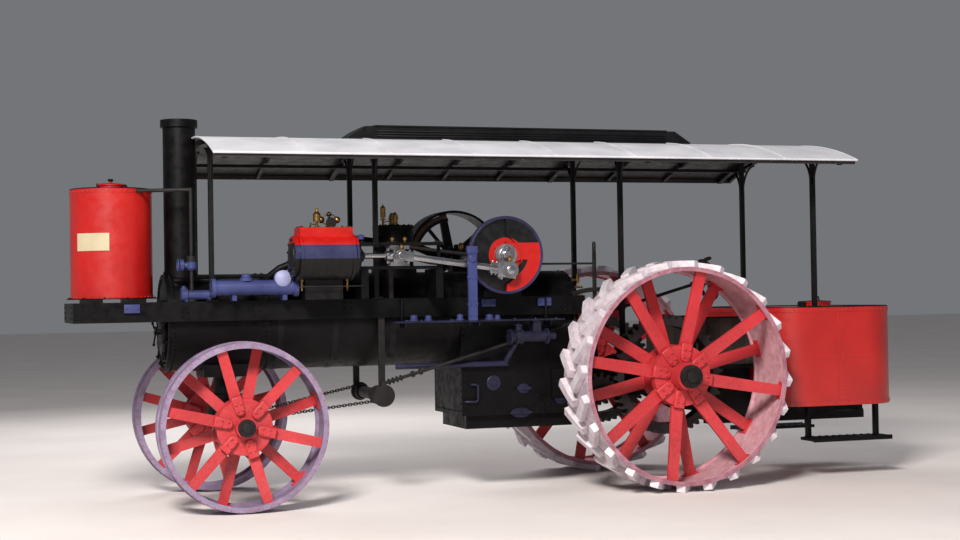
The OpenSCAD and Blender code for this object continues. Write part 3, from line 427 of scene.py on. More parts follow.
# the sheet's underside and eave plates are painted near-black: painted shade over the dark boards
ROOF_SHEET = paint("roof_sheet", **ROOF_PAINT, zones=((roof_underside_shade, UNDER_ROOF_SHADE),))
TRIM = paint("trim_black", TRIM_BLACK, (0.08, 0.065, 0.055), 0.03, rough=(0.35, 0.6), shine=0.18)
# blue paint, deeper below the ledge's top as painted shade
BLUE = paint("blue_grey", **BLUE_PAINT, zones=((below_ledge_shade, BLUE_IN_SHADE),), shine=0.35)
LEDGE = paint("ledge_paint", **BLUE_PAINT, zones=((below_ledge_shade, BLUE_IN_SHADE), (brackets, NEAR_BLACK)),
    shine=0.3)
PALE_BLUE = paint("pale_blue_grey", PALE_TONES, (0.3, 0.28, 0.3), 0.04, chip=(0.06, 0.05, 0.06))
# red top and blue-grey body, with a near-black foot that is painted shade on the jacket's lower half
CYLINDER = paint("cylinder_paint", CYLINDER_BLUE, (0.14, 0.12, 0.11), 0.03, rough=(0.3, 0.55),
                 zones=((cylinder_top, DEEP_RED), (cylinder_shaded_foot, NEAR_BLACK)), shine=0.3)
LEATHER = paint("belt_leather", ((0.05, 0.025, 0.012), (0.13, 0.07, 0.035)), (0.2, 0.16, 0.12), 0.15,
                rough=(0.5, 0.75))
CREAM = paint("cream_plate", ((0.42, 0.36, 0.22), (0.56, 0.49, 0.33)), (0.4, 0.34, 0.26), 0.05,
              rough=(0.4, 0.6), grime=0.1)
DIAL = paint("dial_white", ((0.62, 0.6, 0.54), (0.75, 0.73, 0.68)), (0.5, 0.46, 0.4), 0.05,
             rough=(0.3, 0.45))
RIM = iron("road_rim", ((0.5, 0.2, 0.24), (0.72, 0.38, 0.43)), (0.42, 0.1, 0.12), 0.35,
           metallic=0.1, rough=(0.35, 0.65), dust=(0.8, 0.6, 0.66), dust_amount=0.4,
           zones=((lugs, LUG_PALE), (tread, TREAD_PALE), (rim_edge, EDGE_ROSE)))
FRONT_RIM = iron("front_rim", ((0.16, 0.12, 0.21), (0.31, 0.25, 0.38)), (0.2, 0.07, 0.09), 0.4,
                 metallic=0.15, rough=(0.45, 0.75), dust=(0.42, 0.33, 0.46), dust_amount=0.3)
DARK = iron("dark_iron", ((0.006, 0.006, 0.007), (0.02, 0.019, 0.02)), (0.035, 0.018, 0.012), 0.35,
            metallic=0.3, rough=(0.4, 0.68), shine=0.3)
STEEL = steel("bright_steel", (0.26, 0.26, 0.28), (0.5, 0.5, 0.53), (0.22, 0.42))
EVEN = (4.0, 4.0, 4.0)
BRASS = steel("brass_fittings", (0.26, 0.14, 0.04), (0.48, 0.31, 0.11), (0.22, 0.45), EVEN)
COPPER = steel("copper_pipe", (0.34, 0.13, 0.07), (0.58, 0.27, 0.15), (0.25, 0.5), EVEN)
DECK = boards("deck_boards", (0.007, 0.005, 0.004), (0.03, 0.021, 0.015), 0.14)
CRANK = crank_paint()
GLASS = clear_glass()


# Mesh tools


def frame_of(axis):
    """An axis and two unit vectors square to it."""
    axis = Vector(axis).normalized()
    side = UP if abs(axis.z) < 0.9 else X_WAY
    u = axis.cross(side).normalized()
    return axis, u, axis.cross(u).normalized()


def around(centre, axis, radius, count, phase=0.0):
    """Points on a circle, with the direction out from its centre."""
    axis, u, w = frame_of(axis)
    centre = Vector(centre)
    out = []
    for i in range(count):
        a = math.radians(phase) + 2 * math.pi * i / count
        d = u * math.cos(a) + w * math.sin(a)
        out.append((centre + d * radius, d))
    return out


def spread(low, high, count):
    """Evenly spaced numbers from low to high."""
    return [low + (high - low) * i / (count - 1) for i in range(count)]


class Form:
    """Collects small solids in one mesh, each of them closed."""

    def __init__(self):
        self.verts = []
        self.faces = []

    def add(self, verts, faces):
        base = len(self.verts)
        self.verts += [tuple(v) for v in verts]
        self.faces += [tuple(base + i for i in f) for f in faces]

    def skin(self, rings, closed=False):
        """A skin over rings of points, with its ends filled or joined; a ring of one point is a tip."""
        verts, loops, faces = [], [], []
        for ring in rings:
            loops.append(range(len(verts), len(verts) + len(ring)))
            verts += ring
        seg = max(len(ring) for ring in rings)
        for a, b in zip(loops, loops[1:] + loops[:1] if closed else loops[1:]):
            if len(a) == len(b) == 1:
                continue
            for i in range(seg):
                j = (i + 1) % seg
                if len(a) == 1:
                    faces.append((a[0], b[j], b[i]))
                elif len(b) == 1:
                    faces.append((a[i], a[j], b[0]))
                else:
                    faces.append((a[i], a[j], b[j], b[i]))
        if not closed:
            ends = (tuple(reversed(loops[0])), tuple(loops[-1]))
            faces += [end for end in ends if len(end) > 1]
        self.add(verts, faces)

    def lathe(self, origin, axis, profile, seg=16):
        """profile is a list of (along the axis, radius); its ends are closed."""
        axis, u, w = frame_of(axis)
        origin = Vector(origin)
        rings = []
        for along, r in profile:
            turns = [2 * math.pi * i / seg for i in range(seg)] if r > 1e-6 else [0.0]
            rings.append([origin + axis * along + (u * math.cos(a) + w * math.sin(a)) * r for a in turns])
        self.skin(rings)

    def turned(self, origin, axis, mm, seg=16):
        """A lathe with its profile in millimetres: along, radius, along, radius and so on."""
        self.lathe(origin, axis, [(along / 1000, r / 1000) for along, r in zip(mm[::2], mm[1::2])], seg)

    def rod(self, a, b, r, seg=12, r2=None):
        a, b = Vector(a), Vector(b)
        d = b - a
        self.lathe(a, d, [(0, r), (d.length, r if r2 is None else r2)], seg)

    def rivet(self, at, out, r):
        self.lathe(at, out, [(-r * 0.3, r), (r * 0.15, r * 0.94), (r * 0.5, r * 0.66), (r * 0.68, 0)], 8)

    def rivets(self, spots, out, r):
        """Rivets at spots, each a point with a direction, which is used where out is None."""
        for p, d in spots:
            self.rivet(p, d if out is None else out, r)

    def bolt(self, at, out, r):
        """A hexagon nut with the bolt's end standing out of it."""
        h = r * 0.9
        self.lathe(at, out, [(-r * 0.2, r * 1.25), (r * 0.12, r * 1.25)], 12)
        self.lathe(at, out, [(r * 0.12, r), (h * 0.85, r), (h, r * 0.86)], 6)
        self.lathe(at, out, [(h, r * 0.5), (h * 1.35, r * 0.46)], 8)

    def bolts(self, spots, out, r):
        for p, _ in spots:
            self.bolt(p, out, r)

    def rows(self, kind, xs, ys, zs, out, r):
        """A rivet or a bolt at each crossing of the given X, Y and Z."""
        for at in product(xs, ys, zs):
            kind(self, at, out, r)

    def box(self, lo, hi, bevel, turn=None, about=None):
        """A block with soft edges, turned about a point where turn is given."""
        lo, hi = Vector(lo), Vector(hi)
        block = bmesh.new()
        bmesh.ops.create_cube(block, size=1.0)
        for v in block.verts:
            v.co = Vector((lo[i] + (v.co[i] + 0.5) * (hi[i] - lo[i]) for i in range(3)))
        bmesh.ops.bevel(block, geom=list(block.edges), offset=min(bevel, min(hi - lo) * 0.45),
                        segments=2, profile=0.7, affect="EDGES")
        block.verts.index_update()
        verts = [v.co.copy() for v in block.verts]
        if turn is not None:
            verts = [about + turn @ (v - about) for v in verts]
        self.add(verts, [tuple(v.index for v in f.verts) for f in block.faces])
        block.free()

    def side_box(self, side, x, y, z, bevel):
        """A box from pairs of limits, with its Y given for the left and mirrored for side -1."""
        low_y, high_y = sorted(side * limit for limit in y)
        self.box((x[0], low_y, z[0]), (x[1], high_y, z[1]), bevel)

    def tube(self, points, r, seg=10, closed=False, flat=None):
        """A pipe along points; flat is a second radius for an oval."""
        pts = [Vector(p) for p in points]
        n = len(pts)
        rings = []
        up = None
        for i, p in enumerate(pts):
            before = pts[(i - 1) % n] if closed or i > 0 else p
            after = pts[(i + 1) % n] if closed or i < n - 1 else p
            d = (after - before).normalized()
            if up is None:
                _, u, w = frame_of(d)
            else:
                u = (up - d * up.dot(d)).normalized()
                w = d.cross(u)
            up = u
            turns = [2 * math.pi * k / seg for k in range(seg)]
            rings.append([p + u * math.cos(a) * r + w * math.sin(a) * (flat or r) for a in turns])
        self.skin(rings, closed)

    def ring(self, at, axis, radius, r, seg=48, tube_seg=10, flat=None):
        self.tube([p for p, _ in around(at, axis, radius, seg)], r, tube_seg, closed=True, flat=flat)

    def band(self, at, axis, radius, width, thick, seg=64, start=0.0, stop=360.0):
        """A flat hoop round an axis, centred on at; start and stop give a part of it."""
        axis, u, w = frame_of(axis)
        at = Vector(at)
        full = abs(stop - start) >= 359.9
        half = axis * (width / 2)
        rings = []
        for i in range(seg if full else seg + 1):
            a = math.radians(start + (stop - start) * i / seg)
            out = u * math.cos(a) + w * math.sin(a)
            inner, outer = at + out * radius, at + out * (radius + thick)
            rings.append([inner - half, inner + half, outer + half, outer - half])
        self.skin(rings, full)

    def plate(self, outline, depth):
        """A flat plate: outline is a closed list of points, depth the vector through it."""
        pts = [Vector(p) for p in outline]
        self.skin([pts, [p + Vector(depth) for p in pts]])

    def make(self, name, material, body="engine", bevel=0.0, angle=35.0, replaces=()):
        """One object of all that was added; points are given from the rear axle until here."""
        mesh = bpy.data.meshes.new(name)
        mesh.from_pydata(self.verts, [], self.faces)
        mesh.transform(Matrix.Translation((SHIFT, 0, 0)))
        mesh.validate()
        bm = bmesh.new()
        bm.from_mesh(mesh)
        bmesh.ops.recalc_face_normals(bm, faces=bm.faces)
        bm.to_mesh(mesh)
        bm.free()
        mesh.polygons.foreach_set("use_smooth", [True] * len(mesh.polygons))
        mesh.set_sharp_from_angle(angle=math.radians(angle))
        mesh.materials.append(material)
        obj = bpy.data.objects.new(name, mesh)
        bpy.context.scene.collection.objects.link(obj)
        if bevel > 0:
            mod = obj.modifiers.new("soft_edges", "BEVEL")
            mod.width = bevel
            mod.segments = 2
            mod.limit_method = "ANGLE"
            mod.angle_limit = math.radians(40)
        if body is not None:
            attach(obj, body)
        if replaces:
            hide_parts(*replaces)
        return obj


# What each node of the frame is painted with
FINISH = (
    (BLACK,
        "boiler_barrel smokebox smokebox_door firebox smokestack steam_dome side_frames front_pedestal"
           " rear_frame drawbar crosshead_guide shaft_bearings front_axle"),
    (DARK, "fire_door tank_pipe rear_axle valve_gear drive_gears steering_gear steering_chains"
          " pinion_left pinion_right hand_levers"),
    (TRIM, "roof_ridge_vent canopy_posts flywheel"),
    (RED, "front_tank rear_tank"),
    (BLUE, "feedwater_heater feed_pump"),
    (STEEL, "crosshead connecting_rod"),
    (RIM, "rear_rim_left rear_rim_right"),
    (FRONT_RIM, "front_rim_left front_rim_right"),
    (WHEEL_RED, "front_spider_left front_spider_right"),
    (REAR_RED, "rear_spider_left rear_spider_right"),
    (LEDGE, "side_step"),
    (DECK, "platform"),
    (ROOF_SHEET, "canopy_roof"),
    (CYLINDER, "engine_cylinder"),
    (BRASS, "governor"),
    (CRANK, "crankshaft"),
)
for finish, nodes in FINISH:
    for node in nodes.split():
        obj = NODES[node]
        if not obj.material_slots:
            obj.data.materials.append(finish)
        for slot in obj.material_slots:
            slot.link = "OBJECT"
            slot.material = finish


# Wheels

REAR_HUB_R = 0.29
CORNERS = ((-1, -1), (1, -1), (1, 1), (-1, 1))


def wheel_trim(name, side, x, z, rim_r, plate, edges, hub_r, reach, hub_rows, rim_rows, count, phase):
    """Rivets, spoke feet and hub bolts of one wheel."""
    centre = Vector((x, 0, z))
    out = LEFT * side
    foot_half_w, foot_half_l, foot_t = 0.085, 0.045, 0.012
    half = 0.052 * hub_r / REAR_HUB_R
    feet, rivets, roots = Form(), Form(), Form()
    for row, way in enumerate((out, -out)):
        for i in range(count):
            a = math.radians(phase + (i + row / 2) * 360 / count)
            d = Vector((math.cos(a), 0, -side * math.sin(a)))
            across = d.cross(out)
            # foot of the spoke, riveted to the inside of the rim
            base = centre + d * (rim_r - plate) + out * rim_rows[row] - d * 0.0005
            feet.plate([base + across * u * foot_half_w + out * v * foot_half_l for u, v in CORNERS],
                       -d * foot_t)
            for u in (-1, 1):
                for v in (-1, 1):
                    at = base - d * foot_t + across * u * foot_half_w * 0.8 + out * v * foot_half_l * 0.55
                    rivets.rivet(at, -d, 0.011)
            # root of the spoke, raised over the hub's flange
            face = out * (hub_rows[row] + (0.045 if row == 0 else -0.045))
            end = hub_r * 0.62
            ring = [centre + d * (end + half * math.sin(t)) + across * half * math.cos(t)
                    for t in spread(math.pi, 2 * math.pi, 11)]
            tail = [centre + d * (hub_r + reach) + across * u * half * 1.06 for u in (1, -1)]
            roots.plate([p + face - way * 0.002 for p in ring + tail], way * 0.03)
            # bolts through the hub's flange and the spoke
            for share in (0.62, 0.86):
                for u in (-1, 1):
                    at = centre + d * hub_r * share + across * u * half * 0.5 + face + way * 0.028
                    rivets.bolt(at, way, 0.013 * hub_r / REAR_HUB_R)
    # rivets round both edges of the rim
    for y, way in zip(edges, (out, -out)):
        rivets.rivets(around(centre + out * y, out, rim_r - plate * 0.5, 64), way, 0.006)
    feet.make(f"{name}_spoke_feet", WHEEL_RED, name, bevel=0.002)
    roots.make(f"{name}_spoke_roots", WHEEL_RED, name, bevel=0.009, angle=50)
    rivets.make(f"{name}_rivets", WHEEL_RED, name, angle=60)


def end_cap(name, body, side, x, z, r, y0, y1):
    """The cover over an axle's end and its collar."""
    out = LEFT * side
    at = Vector((x, side * y0, z))
    deep = y1 - y0
    cap = Form()
    shape = ((0, 1), (0.62, 1), (0.74, 0.95), (0.74, 0.6), (0.94, 0.56), (1, 0.44), (1, 0))
    cap.lathe(at, out, [(deep * along, r * wide) for along, wide in shape], 40)
    cap.bolts(around(at + out * deep * 0.73, out, r * 0.78, 6, 15), out, r * 0.09)
    cap.make(name, DARK, body, angle=30)


for word, side in SIDES:
    wheel_trim(
        f"rear_wheel_{word}", side, 0.0, REAR_Z, REAR_R, plate=0.02, edges=(REAR_OUT, REAR_IN),
        hub_r=REAR_HUB_R, reach=0.02, hub_rows=(REAR_OUT - 0.2, REAR_OUT - 0.42),
        rim_rows=(REAR_OUT - 0.072, REAR_IN + 0.1), count=8, phase=35.4,
    )
    wheel_trim(
        f"front_wheel_{word}", side, FRONT_X, FRONT_Z, FRONT_R - 0.012, plate=0.018,
        edges=(FRONT_OUT, FRONT_IN), hub_r=0.25, reach=0.03,
        hub_rows=(FRONT_OUT - 0.105, FRONT_OUT - 0.255), rim_rows=(FRONT_OUT - 0.068, FRONT_IN + 0.068),
        count=6, phase=46.5,
    )
    end_cap(f"rear_axle_cap_{word}", "engine", side, 0.0, REAR_Z, 0.108, REAR_OUT + 0.018,
        REAR_OUT + 0.09)
    end_cap(f"front_axle_cap_{word}", "steering_axle", side, FRONT_X, FRONT_Z, 0.078, FRONT_OUT + 0.028,
            FRONT_OUT + 0.072)


# Boiler, smokebox and firebox

BARREL_Z = middle("boiler_barrel").z
BARREL_R = span("boiler_barrel")[1].z - BARREL_Z
FIRE_BACK = span("fire_door")[1].x
FIRE_FRONT = span("boiler_barrel")[0].x
SMOKE_BACK = span("boiler_barrel")[1].x
SMOKE_FRONT = span("smokebox_door")[0].x
FIRE_HALF = 0.45
GRATE_Z = span("firebox")[0].z + 0.13
FRAME_TOP = 1.868
FRAME_LOW = span("side_frames")[0].z
FRAME_OUT = 0.53


def upward(deg):
    """The direction square to X that stands deg degrees over the left."""
    a = math.radians(deg)
    return Vector((0, math.cos(a), math.sin(a)))


def shell_rivet(form, x, deg, r, size):
    """A rivet at x on a shell of radius r round the boiler's axis."""
    d = upward(deg)
    form.rivet(Vector((x, 0, BARREL_Z)) + d * r, d, size)


def boiler_bands():
    bands = Form()
    for x in (FIRE_FRONT + 0.1, FIRE_FRONT + 0.66, FIRE_FRONT + 1.22, SMOKE_BACK - 0.06):
        bands.band((x, 0, BARREL_Z), X_WAY, BARREL_R - 0.001, 0.055, 0.0045, 96)
        for side in (1, -1):
            at = Vector((x, side * 0.3, BARREL_Z - math.sqrt(BARREL_R**2 - 0.3**2) - 0.01))
            bands.box(at - Vector((0.024, 0.01, 0.022)), at + Vector((0.024, 0.01, 0.016)), 0.003)
    bands.make("boiler_bands", TRIM, bevel=0.001)


def boiler_seams():
    seams = Form()
    for x in spread(FIRE_FRONT + 0.07, SMOKE_BACK - 0.07, 26):
        shell_rivet(seams, x, 112, BARREL_R, 0.011)
    for x in (SMOKE_BACK + 0.035, SMOKE_BACK + 0.095, SMOKE_FRONT - 0.035):
        for i in range(72):
            shell_rivet(seams, x, 5 * i, BARREL_R, 0.012)
    for x in spread(SMOKE_BACK + 0.14, SMOKE_FRONT - 0.08, 14):
        for deg in (248, 254):
            shell_rivet(seams, x, deg, BARREL_R, 0.011)
    seams.make("boiler_rivets", BLACK, angle=60)


def smokebox_front():
    ring = Form()
    at = Vector((SMOKE_FRONT, 0, BARREL_Z))
    ring.band(at + X_WAY * 0.004, X_WAY, BARREL_R - 0.03, 0.018, 0.034, 120)
    ring.rivets(around(at + X_WAY * 0.012, X_WAY, BARREL_R - 0.014, 44), X_WAY, 0.009)
    # bolts and turned dogs that hold the door
    door = middle("smokebox_door")
    door_r = 0.26
    centre = Vector((SMOKE_FRONT, 0, door.z))
    for p, d in around(centre, X_WAY, door_r + 0.03, 10, 18):
        if abs(p.y + door_r + 0.03) < 0.1:
            continue
        ring.rod(p - X_WAY * 0.002, p + X_WAY * 0.052, 0.01)
        ring.bolt(p + X_WAY * 0.04, X_WAY, 0.014)
        w = d.cross(X_WAY) * 0.014
        inner = p - d * 0.058 + X_WAY * 0.0325
        outer = p + d * 0.018 + X_WAY * 0.0325
        ring.plate([inner - w, outer - w, outer + w, inner + w], X_WAY * 0.01)
    ring.make("smokebox_ring", BLACK, bevel=0.0015)

    face = Form()
    front = SMOKE_FRONT + 0.0265
    face.turned((front - 0.001, 0, door.z), X_WAY, (0, 205, 4, 205, 7, 200, 7, 0), 72)
    face.turned((front + 0.045, 0, door.z), X_WAY, (0, 30, 14, 34, 20, 30, 20, 0), 32)
    for deg in (20, 140, 260):
        d = upward(deg)
        end = Vector((front + 0.066, 0, door.z)) + d * 0.115
        face.rod(Vector((front + 0.054, 0, door.z)) + d * 0.026, end, 0.008)
        face.turned(end, d, (-8, 8, 0, 13, 12, 13, 18, 6, 18, 0))
    for p, _ in around(Vector((front, 0, door.z)), X_WAY, 0.238, 28):
        if abs(abs(p.z - door.z) - 0.11) > 0.028 or p.y > 0.02:
            face.rivet(p, X_WAY, 0.007)
    face.make("smokebox_door_face", BLACK, "smokebox_door", bevel=0.0015)


def firebox_skin():
    """Stay-bolt heads in rows, corner rivets, oval hand-hole covers and the round cover."""
    stays = Form()
    for side in (1, -1):
        out = LEFT * side
        y = side * FIRE_HALF
        for z in spread(GRATE_Z + 0.17, GRATE_Z + 0.878, 7):
            if PLATE_Z < z < 1.9:
                continue
            stays.rows(Form.rivet, spread(FIRE_BACK + 0.1, FIRE_FRONT - 0.1, 10), (y,), (z,), out, 0.009)
        xs = spread(FIRE_BACK + 0.03, FIRE_FRONT - 0.03, 24)
        stays.rows(Form.rivet, xs, (y,), (GRATE_Z + 0.035, GRATE_Z + 0.085), out, 0.011)
        zs = [z for z in spread(GRATE_Z + 0.09, GRATE_Z + 0.922, 17) if z <= PLATE_Z]
        stays.rows(Form.rivet, (FIRE_FRONT - 0.028, FIRE_BACK + 0.028), (y,), zs, out, 0.011)
    for deg in spread(12, 168, 15):
        for x in (FIRE_BACK + 0.03, FIRE_FRONT - 0.03):
            shell_rivet(stays, x, deg, FIRE_HALF, 0.011)
    # rows on the front and back plates
    for x, way in ((FIRE_FRONT, X_WAY), (FIRE_BACK, -X_WAY)):
        ys, zs = (-FIRE_HALF + 0.03, FIRE_HALF - 0.03), spread(GRATE_Z + 0.06, GRATE_Z + 0.93, 16)
        stays.rows(Form.rivet, (x,), ys, zs, way, 0.01)
        stays.rows(Form.rivet, (x,), spread(-0.4, 0.4, 15), (GRATE_Z + 0.04,), way, 0.01)
    stays.make("firebox_stays", BLACK, angle=60)

    covers = Form()
    for side in (1, -1):
        out = LEFT * side
        y = side * FIRE_HALF
        # ovals of the wash-out holes low on the sides
        oval(covers, Vector((FIRE_FRONT - 0.625, y, 0.977)), out, 0.062)
        oval(covers, Vector((FIRE_FRONT - 0.59, y, 0.745)), out, 0.095)
        oval(covers, Vector((FIRE_BACK + 0.2, y, 0.86)), out, 0.062)
        # round cover with its bridge
        at = Vector((FIRE_FRONT - 0.322, y, 1.039))
        covers.turned(at - out * 0.001, out, (0, 74, 10, 74, 16, 66, 16, 30, 26, 26, 26, 0), 36)
        covers.bolts(around(at + out * 0.011, out, 0.06, 6), out, 0.008)
    covers.make("firebox_covers", BLUE, bevel=0.001, angle=30)


def oval(form, at, out, half_w):
    """An oval cover with its bridge and stud, half_w long each way along X."""
    points = []
    for deg in spread(0, 360, 29)[:-1]:
        a = math.radians(deg)
        points.append(at + X_WAY * math.cos(a) * half_w + out.cross(X_WAY) * math.sin(a) * 0.046)
    form.plate([p - out * 0.001 for p in points], out * 0.011)
    form.plate([at + (p - at) * 0.72 + out * 0.009 for p in points], out * 0.006)
    bridge = [at + X_WAY * u * half_w * 1.15 + UP * v * 0.011 + out * 0.014 for u, v in CORNERS]
    form.plate(bridge, out * 0.012)
    form.bolt(at + out * 0.026, out, 0.012)


def back_head():
    """Gauges, cocks and the regulator at the rear end."""
    x = FIRE_BACK
    dark, brass = Form(), Form()
    # pressure gauge on its siphon
    centre = Vector((x - 0.065, -0.1, 2.01))
    brass.turned(centre, -X_WAY, (-30, 30, -30, 88, 12, 92, 22, 86, 22, 78, 12, 76), 48)
    siphon = ((0.002, -0.1, 1.8), (0.05, -0.1, 1.8), (0.062, -0.1, 1.812), (0.064, -0.13, 1.84),
        (0.064, -0.1, 1.87), (0.06, -0.1, 1.925))
    brass.tube([(x - back, y, z) for back, y, z in siphon], 0.007)
    dial = Form()
    dial.turned(centre - X_WAY * 0.008, -X_WAY, (0, 76.5, 3, 76.5, 3, 0), 48)
    dial.make("gauge_dial", DIAL)
    hand = Form()
    hub = centre - X_WAY * 0.0125

    def tapered(deg, r0, r1, half0, half1, depth):
        """A flat mark on the dial that points deg degrees over the left."""
        d = upward(deg)
        w = d.cross(X_WAY)
        inner, outer = hub + d * r0, hub + d * r1
        hand.plate([inner - w * half0, outer - w * half1, outer + w * half1, inner + w * half0],
            -X_WAY * depth)

    tapered(math.degrees(2.3), -0.02, 0.058, 0.004, 0.0012, 0.0015)
    for i, deg in enumerate(spread(-40, 220, 21)):
        tapered(deg, 0.058 if i % 5 == 0 else 0.063, 0.071, 0.0012, 0.0012, 0.0006)
    hand.make("gauge_hand", TRIM)
    # water gauge: two cocks and the glass between them
    for z in (1.74, 2.02):
        at = Vector((x, 0.27, z))
        brass.turned(at, -X_WAY, (-4, 24, 8, 24, 12, 13, 70, 13), 20)
        brass.turned(at - X_WAY * 0.07 - UP * 0.026, UP, (0, 17, 52, 17), 20)
        brass.rod(at - X_WAY * 0.04, at - X_WAY * 0.04 + LEFT * 0.06, 0.006, 10)
        brass.box(at - X_WAY * 0.047 + LEFT * 0.055 - UP * 0.004,
            at - X_WAY * 0.033 + LEFT * 0.063 + UP * 0.055, 0.002)
    for dy in (-0.026, 0.026):
        brass.rod((x - 0.07, 0.27 + dy, 1.752), (x - 0.07, 0.27 + dy, 2.008), 0.004, 8)
    tube = Form()
    tube.rod((x - 0.07, 0.27, 1.765), (x - 0.07, 0.27, 1.995), 0.0095, 20)
    tube.make("water_gauge_glass", GLASS)
    # try cocks
    for i in range(3):
        at = Vector((x, 0.375, 1.78 + 0.085 * i))
        brass.turned(at, -X_WAY, (-3, 17, 10, 17, 12, 9, 55, 9, 58, 12, 75, 12))
        brass.rod(at - X_WAY * 0.062, at - X_WAY * 0.062 + LEFT * 0.045, 0.005, 8)
    # injector with its pipes on the right
    at = Vector((x - 0.08, -0.4, 1.52))
    brass.turned(at - UP * 0.11, UP, (0, 20, 30, 26, 100, 30, 150, 20, 220, 26, 240, 18), 20)
    brass.make("back_head_brass", BRASS, bevel=0.0008, angle=30)
    pipes = Form()
    pipes.tube([(x - 0.08, -0.4, 1.64), (x - 0.08, -0.4, 1.8), (x - 0.07, -0.385, 1.86),
        (x - 0.03, -0.35, 1.88), (x - 0.001, -0.335, 1.88)], 0.012, 12)
    pipes.tube([(x - 0.08, -0.4, 1.42), (x - 0.08, -0.4, 1.3), (x - 0.08, -0.38, 1.24),
        (x - 0.06, -0.34, 1.2035)], 0.012, 12)
    pipes.make("injector_pipes", COPPER)
    # regulator: quadrant, stuffing box and lever
    at = Vector((x, 0.02, 1.86))
    dark.turned(at, -X_WAY, (-4, 60, 12, 60, 12, 34, 60, 30, 60, 18, 85, 18), 32)
    dark.bolts(around(at - X_WAY * 0.012, -X_WAY, 0.047, 5), -X_WAY, 0.008)
    lever = upward(205)
    dark.rod(at - X_WAY * 0.076 - lever * 0.03, at - X_WAY * 0.08 + lever * 0.3, 0.012, 14, 0.008)
    dark.turned(at - X_WAY * 0.08 + lever * 0.29, lever, (0, 8, 10, 16, 50, 18, 66, 10, 66, 0), 18)
    dark.make("back_head_iron", DARK, bevel=0.001, angle=30)

    door = Form()
    at = Vector((x - 0.023, 0.0, 1.5))
    door.rows(Form.rivet, (at.x,), (-0.17, 0.0, 0.17), (at.z - 0.125, at.z + 0.125), -X_WAY, 0.009)
    for y in (-0.1, -0.05, 0.0, 0.05):
        door.turned(at + Vector((0.0005, y, 0)), -X_WAY, (0, 16, 2, 16, 2, 0), 20)
    door.rod((x - 0.07, -0.19, 1.5), (x - 0.15, -0.19, 1.5), 0.01, 14)
    door.turned((x - 0.15, -0.19, 1.5), -X_WAY, (0, 10, 6, 17, 30, 19, 40, 11, 40, 0), 20)
    door.make("fire_door_trim", DARK, "fire_door", bevel=0.001)


def handrail():
    """A rail on stanchions along both sides of the boiler, above the frames."""
    rail = Form()
    x0, x1 = SMOKE_BACK + 0.12, SMOKE_FRONT - 0.06
    for side in (1, -1):
        d = upward(52 if side > 0 else 128)
        at = Vector((0, 0, BARREL_Z)) + d * (BARREL_R + 0.05)
        rail.rod((x0, at.y, at.z), (x1, at.y, at.z), 0.009)
        for x in (x0 + 0.02, x1 - 0.02):
            foot = Vector((x, 0, BARREL_Z)) + d * (BARREL_R - 0.002)
            rail.turned(foot, d, (0, 20, 6, 20, 10, 9, 40, 8, 42, 14, 56, 14, 60, 6), 14)
    rail.make("smokebox_handrails", DARK, angle=30)


def dome_fittings():
    dome = middle("steam_dome")
    x = dome.x
    top = BARREL_Z + BARREL_R + 0.44
    foot = BARREL_Z + BARREL_R + 0.03
    parts, brass = Form(), Form()
    # moulded base, bands and cover of the dome
    parts.turned((x, 0, foot - 0.002), UP, (0, 219, 6, 216, 22, 200, 32, 192, 50, 190.5), 96)
    for z in (foot + 0.16, foot + 0.33):
        parts.band((x, 0, z), UP, 0.1895, 0.03, 0.003, 96)
    parts.turned((x, 0, top - 0.03), UP, (0, 191, 6, 205, 36, 205, 44, 196, 44, 0), 96)
    parts.bolts(around((x, 0, top + 0.012), UP, 0.178, 18), UP, 0.01)
    parts.make("dome_trim", BLACK, bevel=0.001, angle=30)
    # safety valves: brass columns with a lock-up nut and escape pipe
    for y in (-0.06, 0.06):
        brass.turned((x, y, top + 0.013), UP, (0, 40, 14, 40, 18, 29, 60, 29, 64, 34, 78, 34, 84, 28, 104,
            28, 112, 17, 126, 15, 130, 0), 28)
    # whistle on the side of the dome
    at = Vector((x + 0.13, 0.1, top + 0.013))
    brass.turned(at, UP, (0, 12, 50, 12, 54, 30, 64, 30, 66, 10, 74, 10, 76, 26, 170, 26, 184, 14, 190, 6,
        200, 6, 206, 0), 28)
    brass.rod(at + Vector((0.0, 0.0, 0.03)), at + Vector((-0.08, 0.0, 0.045)), 0.005, 10)
    brass.make("dome_brass", BRASS, angle=30)


boiler_bands()
boiler_seams()
smokebox_front()
firebox_skin()
back_head()
handrail()
dome_fittings()


# Engine, crankshaft, flywheel and valve gear

CYL_Y = 0.79
CYL_R = 0.215
GUIDE_FRONT = span("crosshead_guide")[1].x
CYL_BACK = GUIDE_FRONT + 0.0403
CYL_FRONT = CYL_BACK + 0.51
CROSS_X = span("crosshead")[0].x + 0.09
ROD_Y = middle("connecting_rod").y
CHEST_TOP = 2.43
BALL_R = 0.032


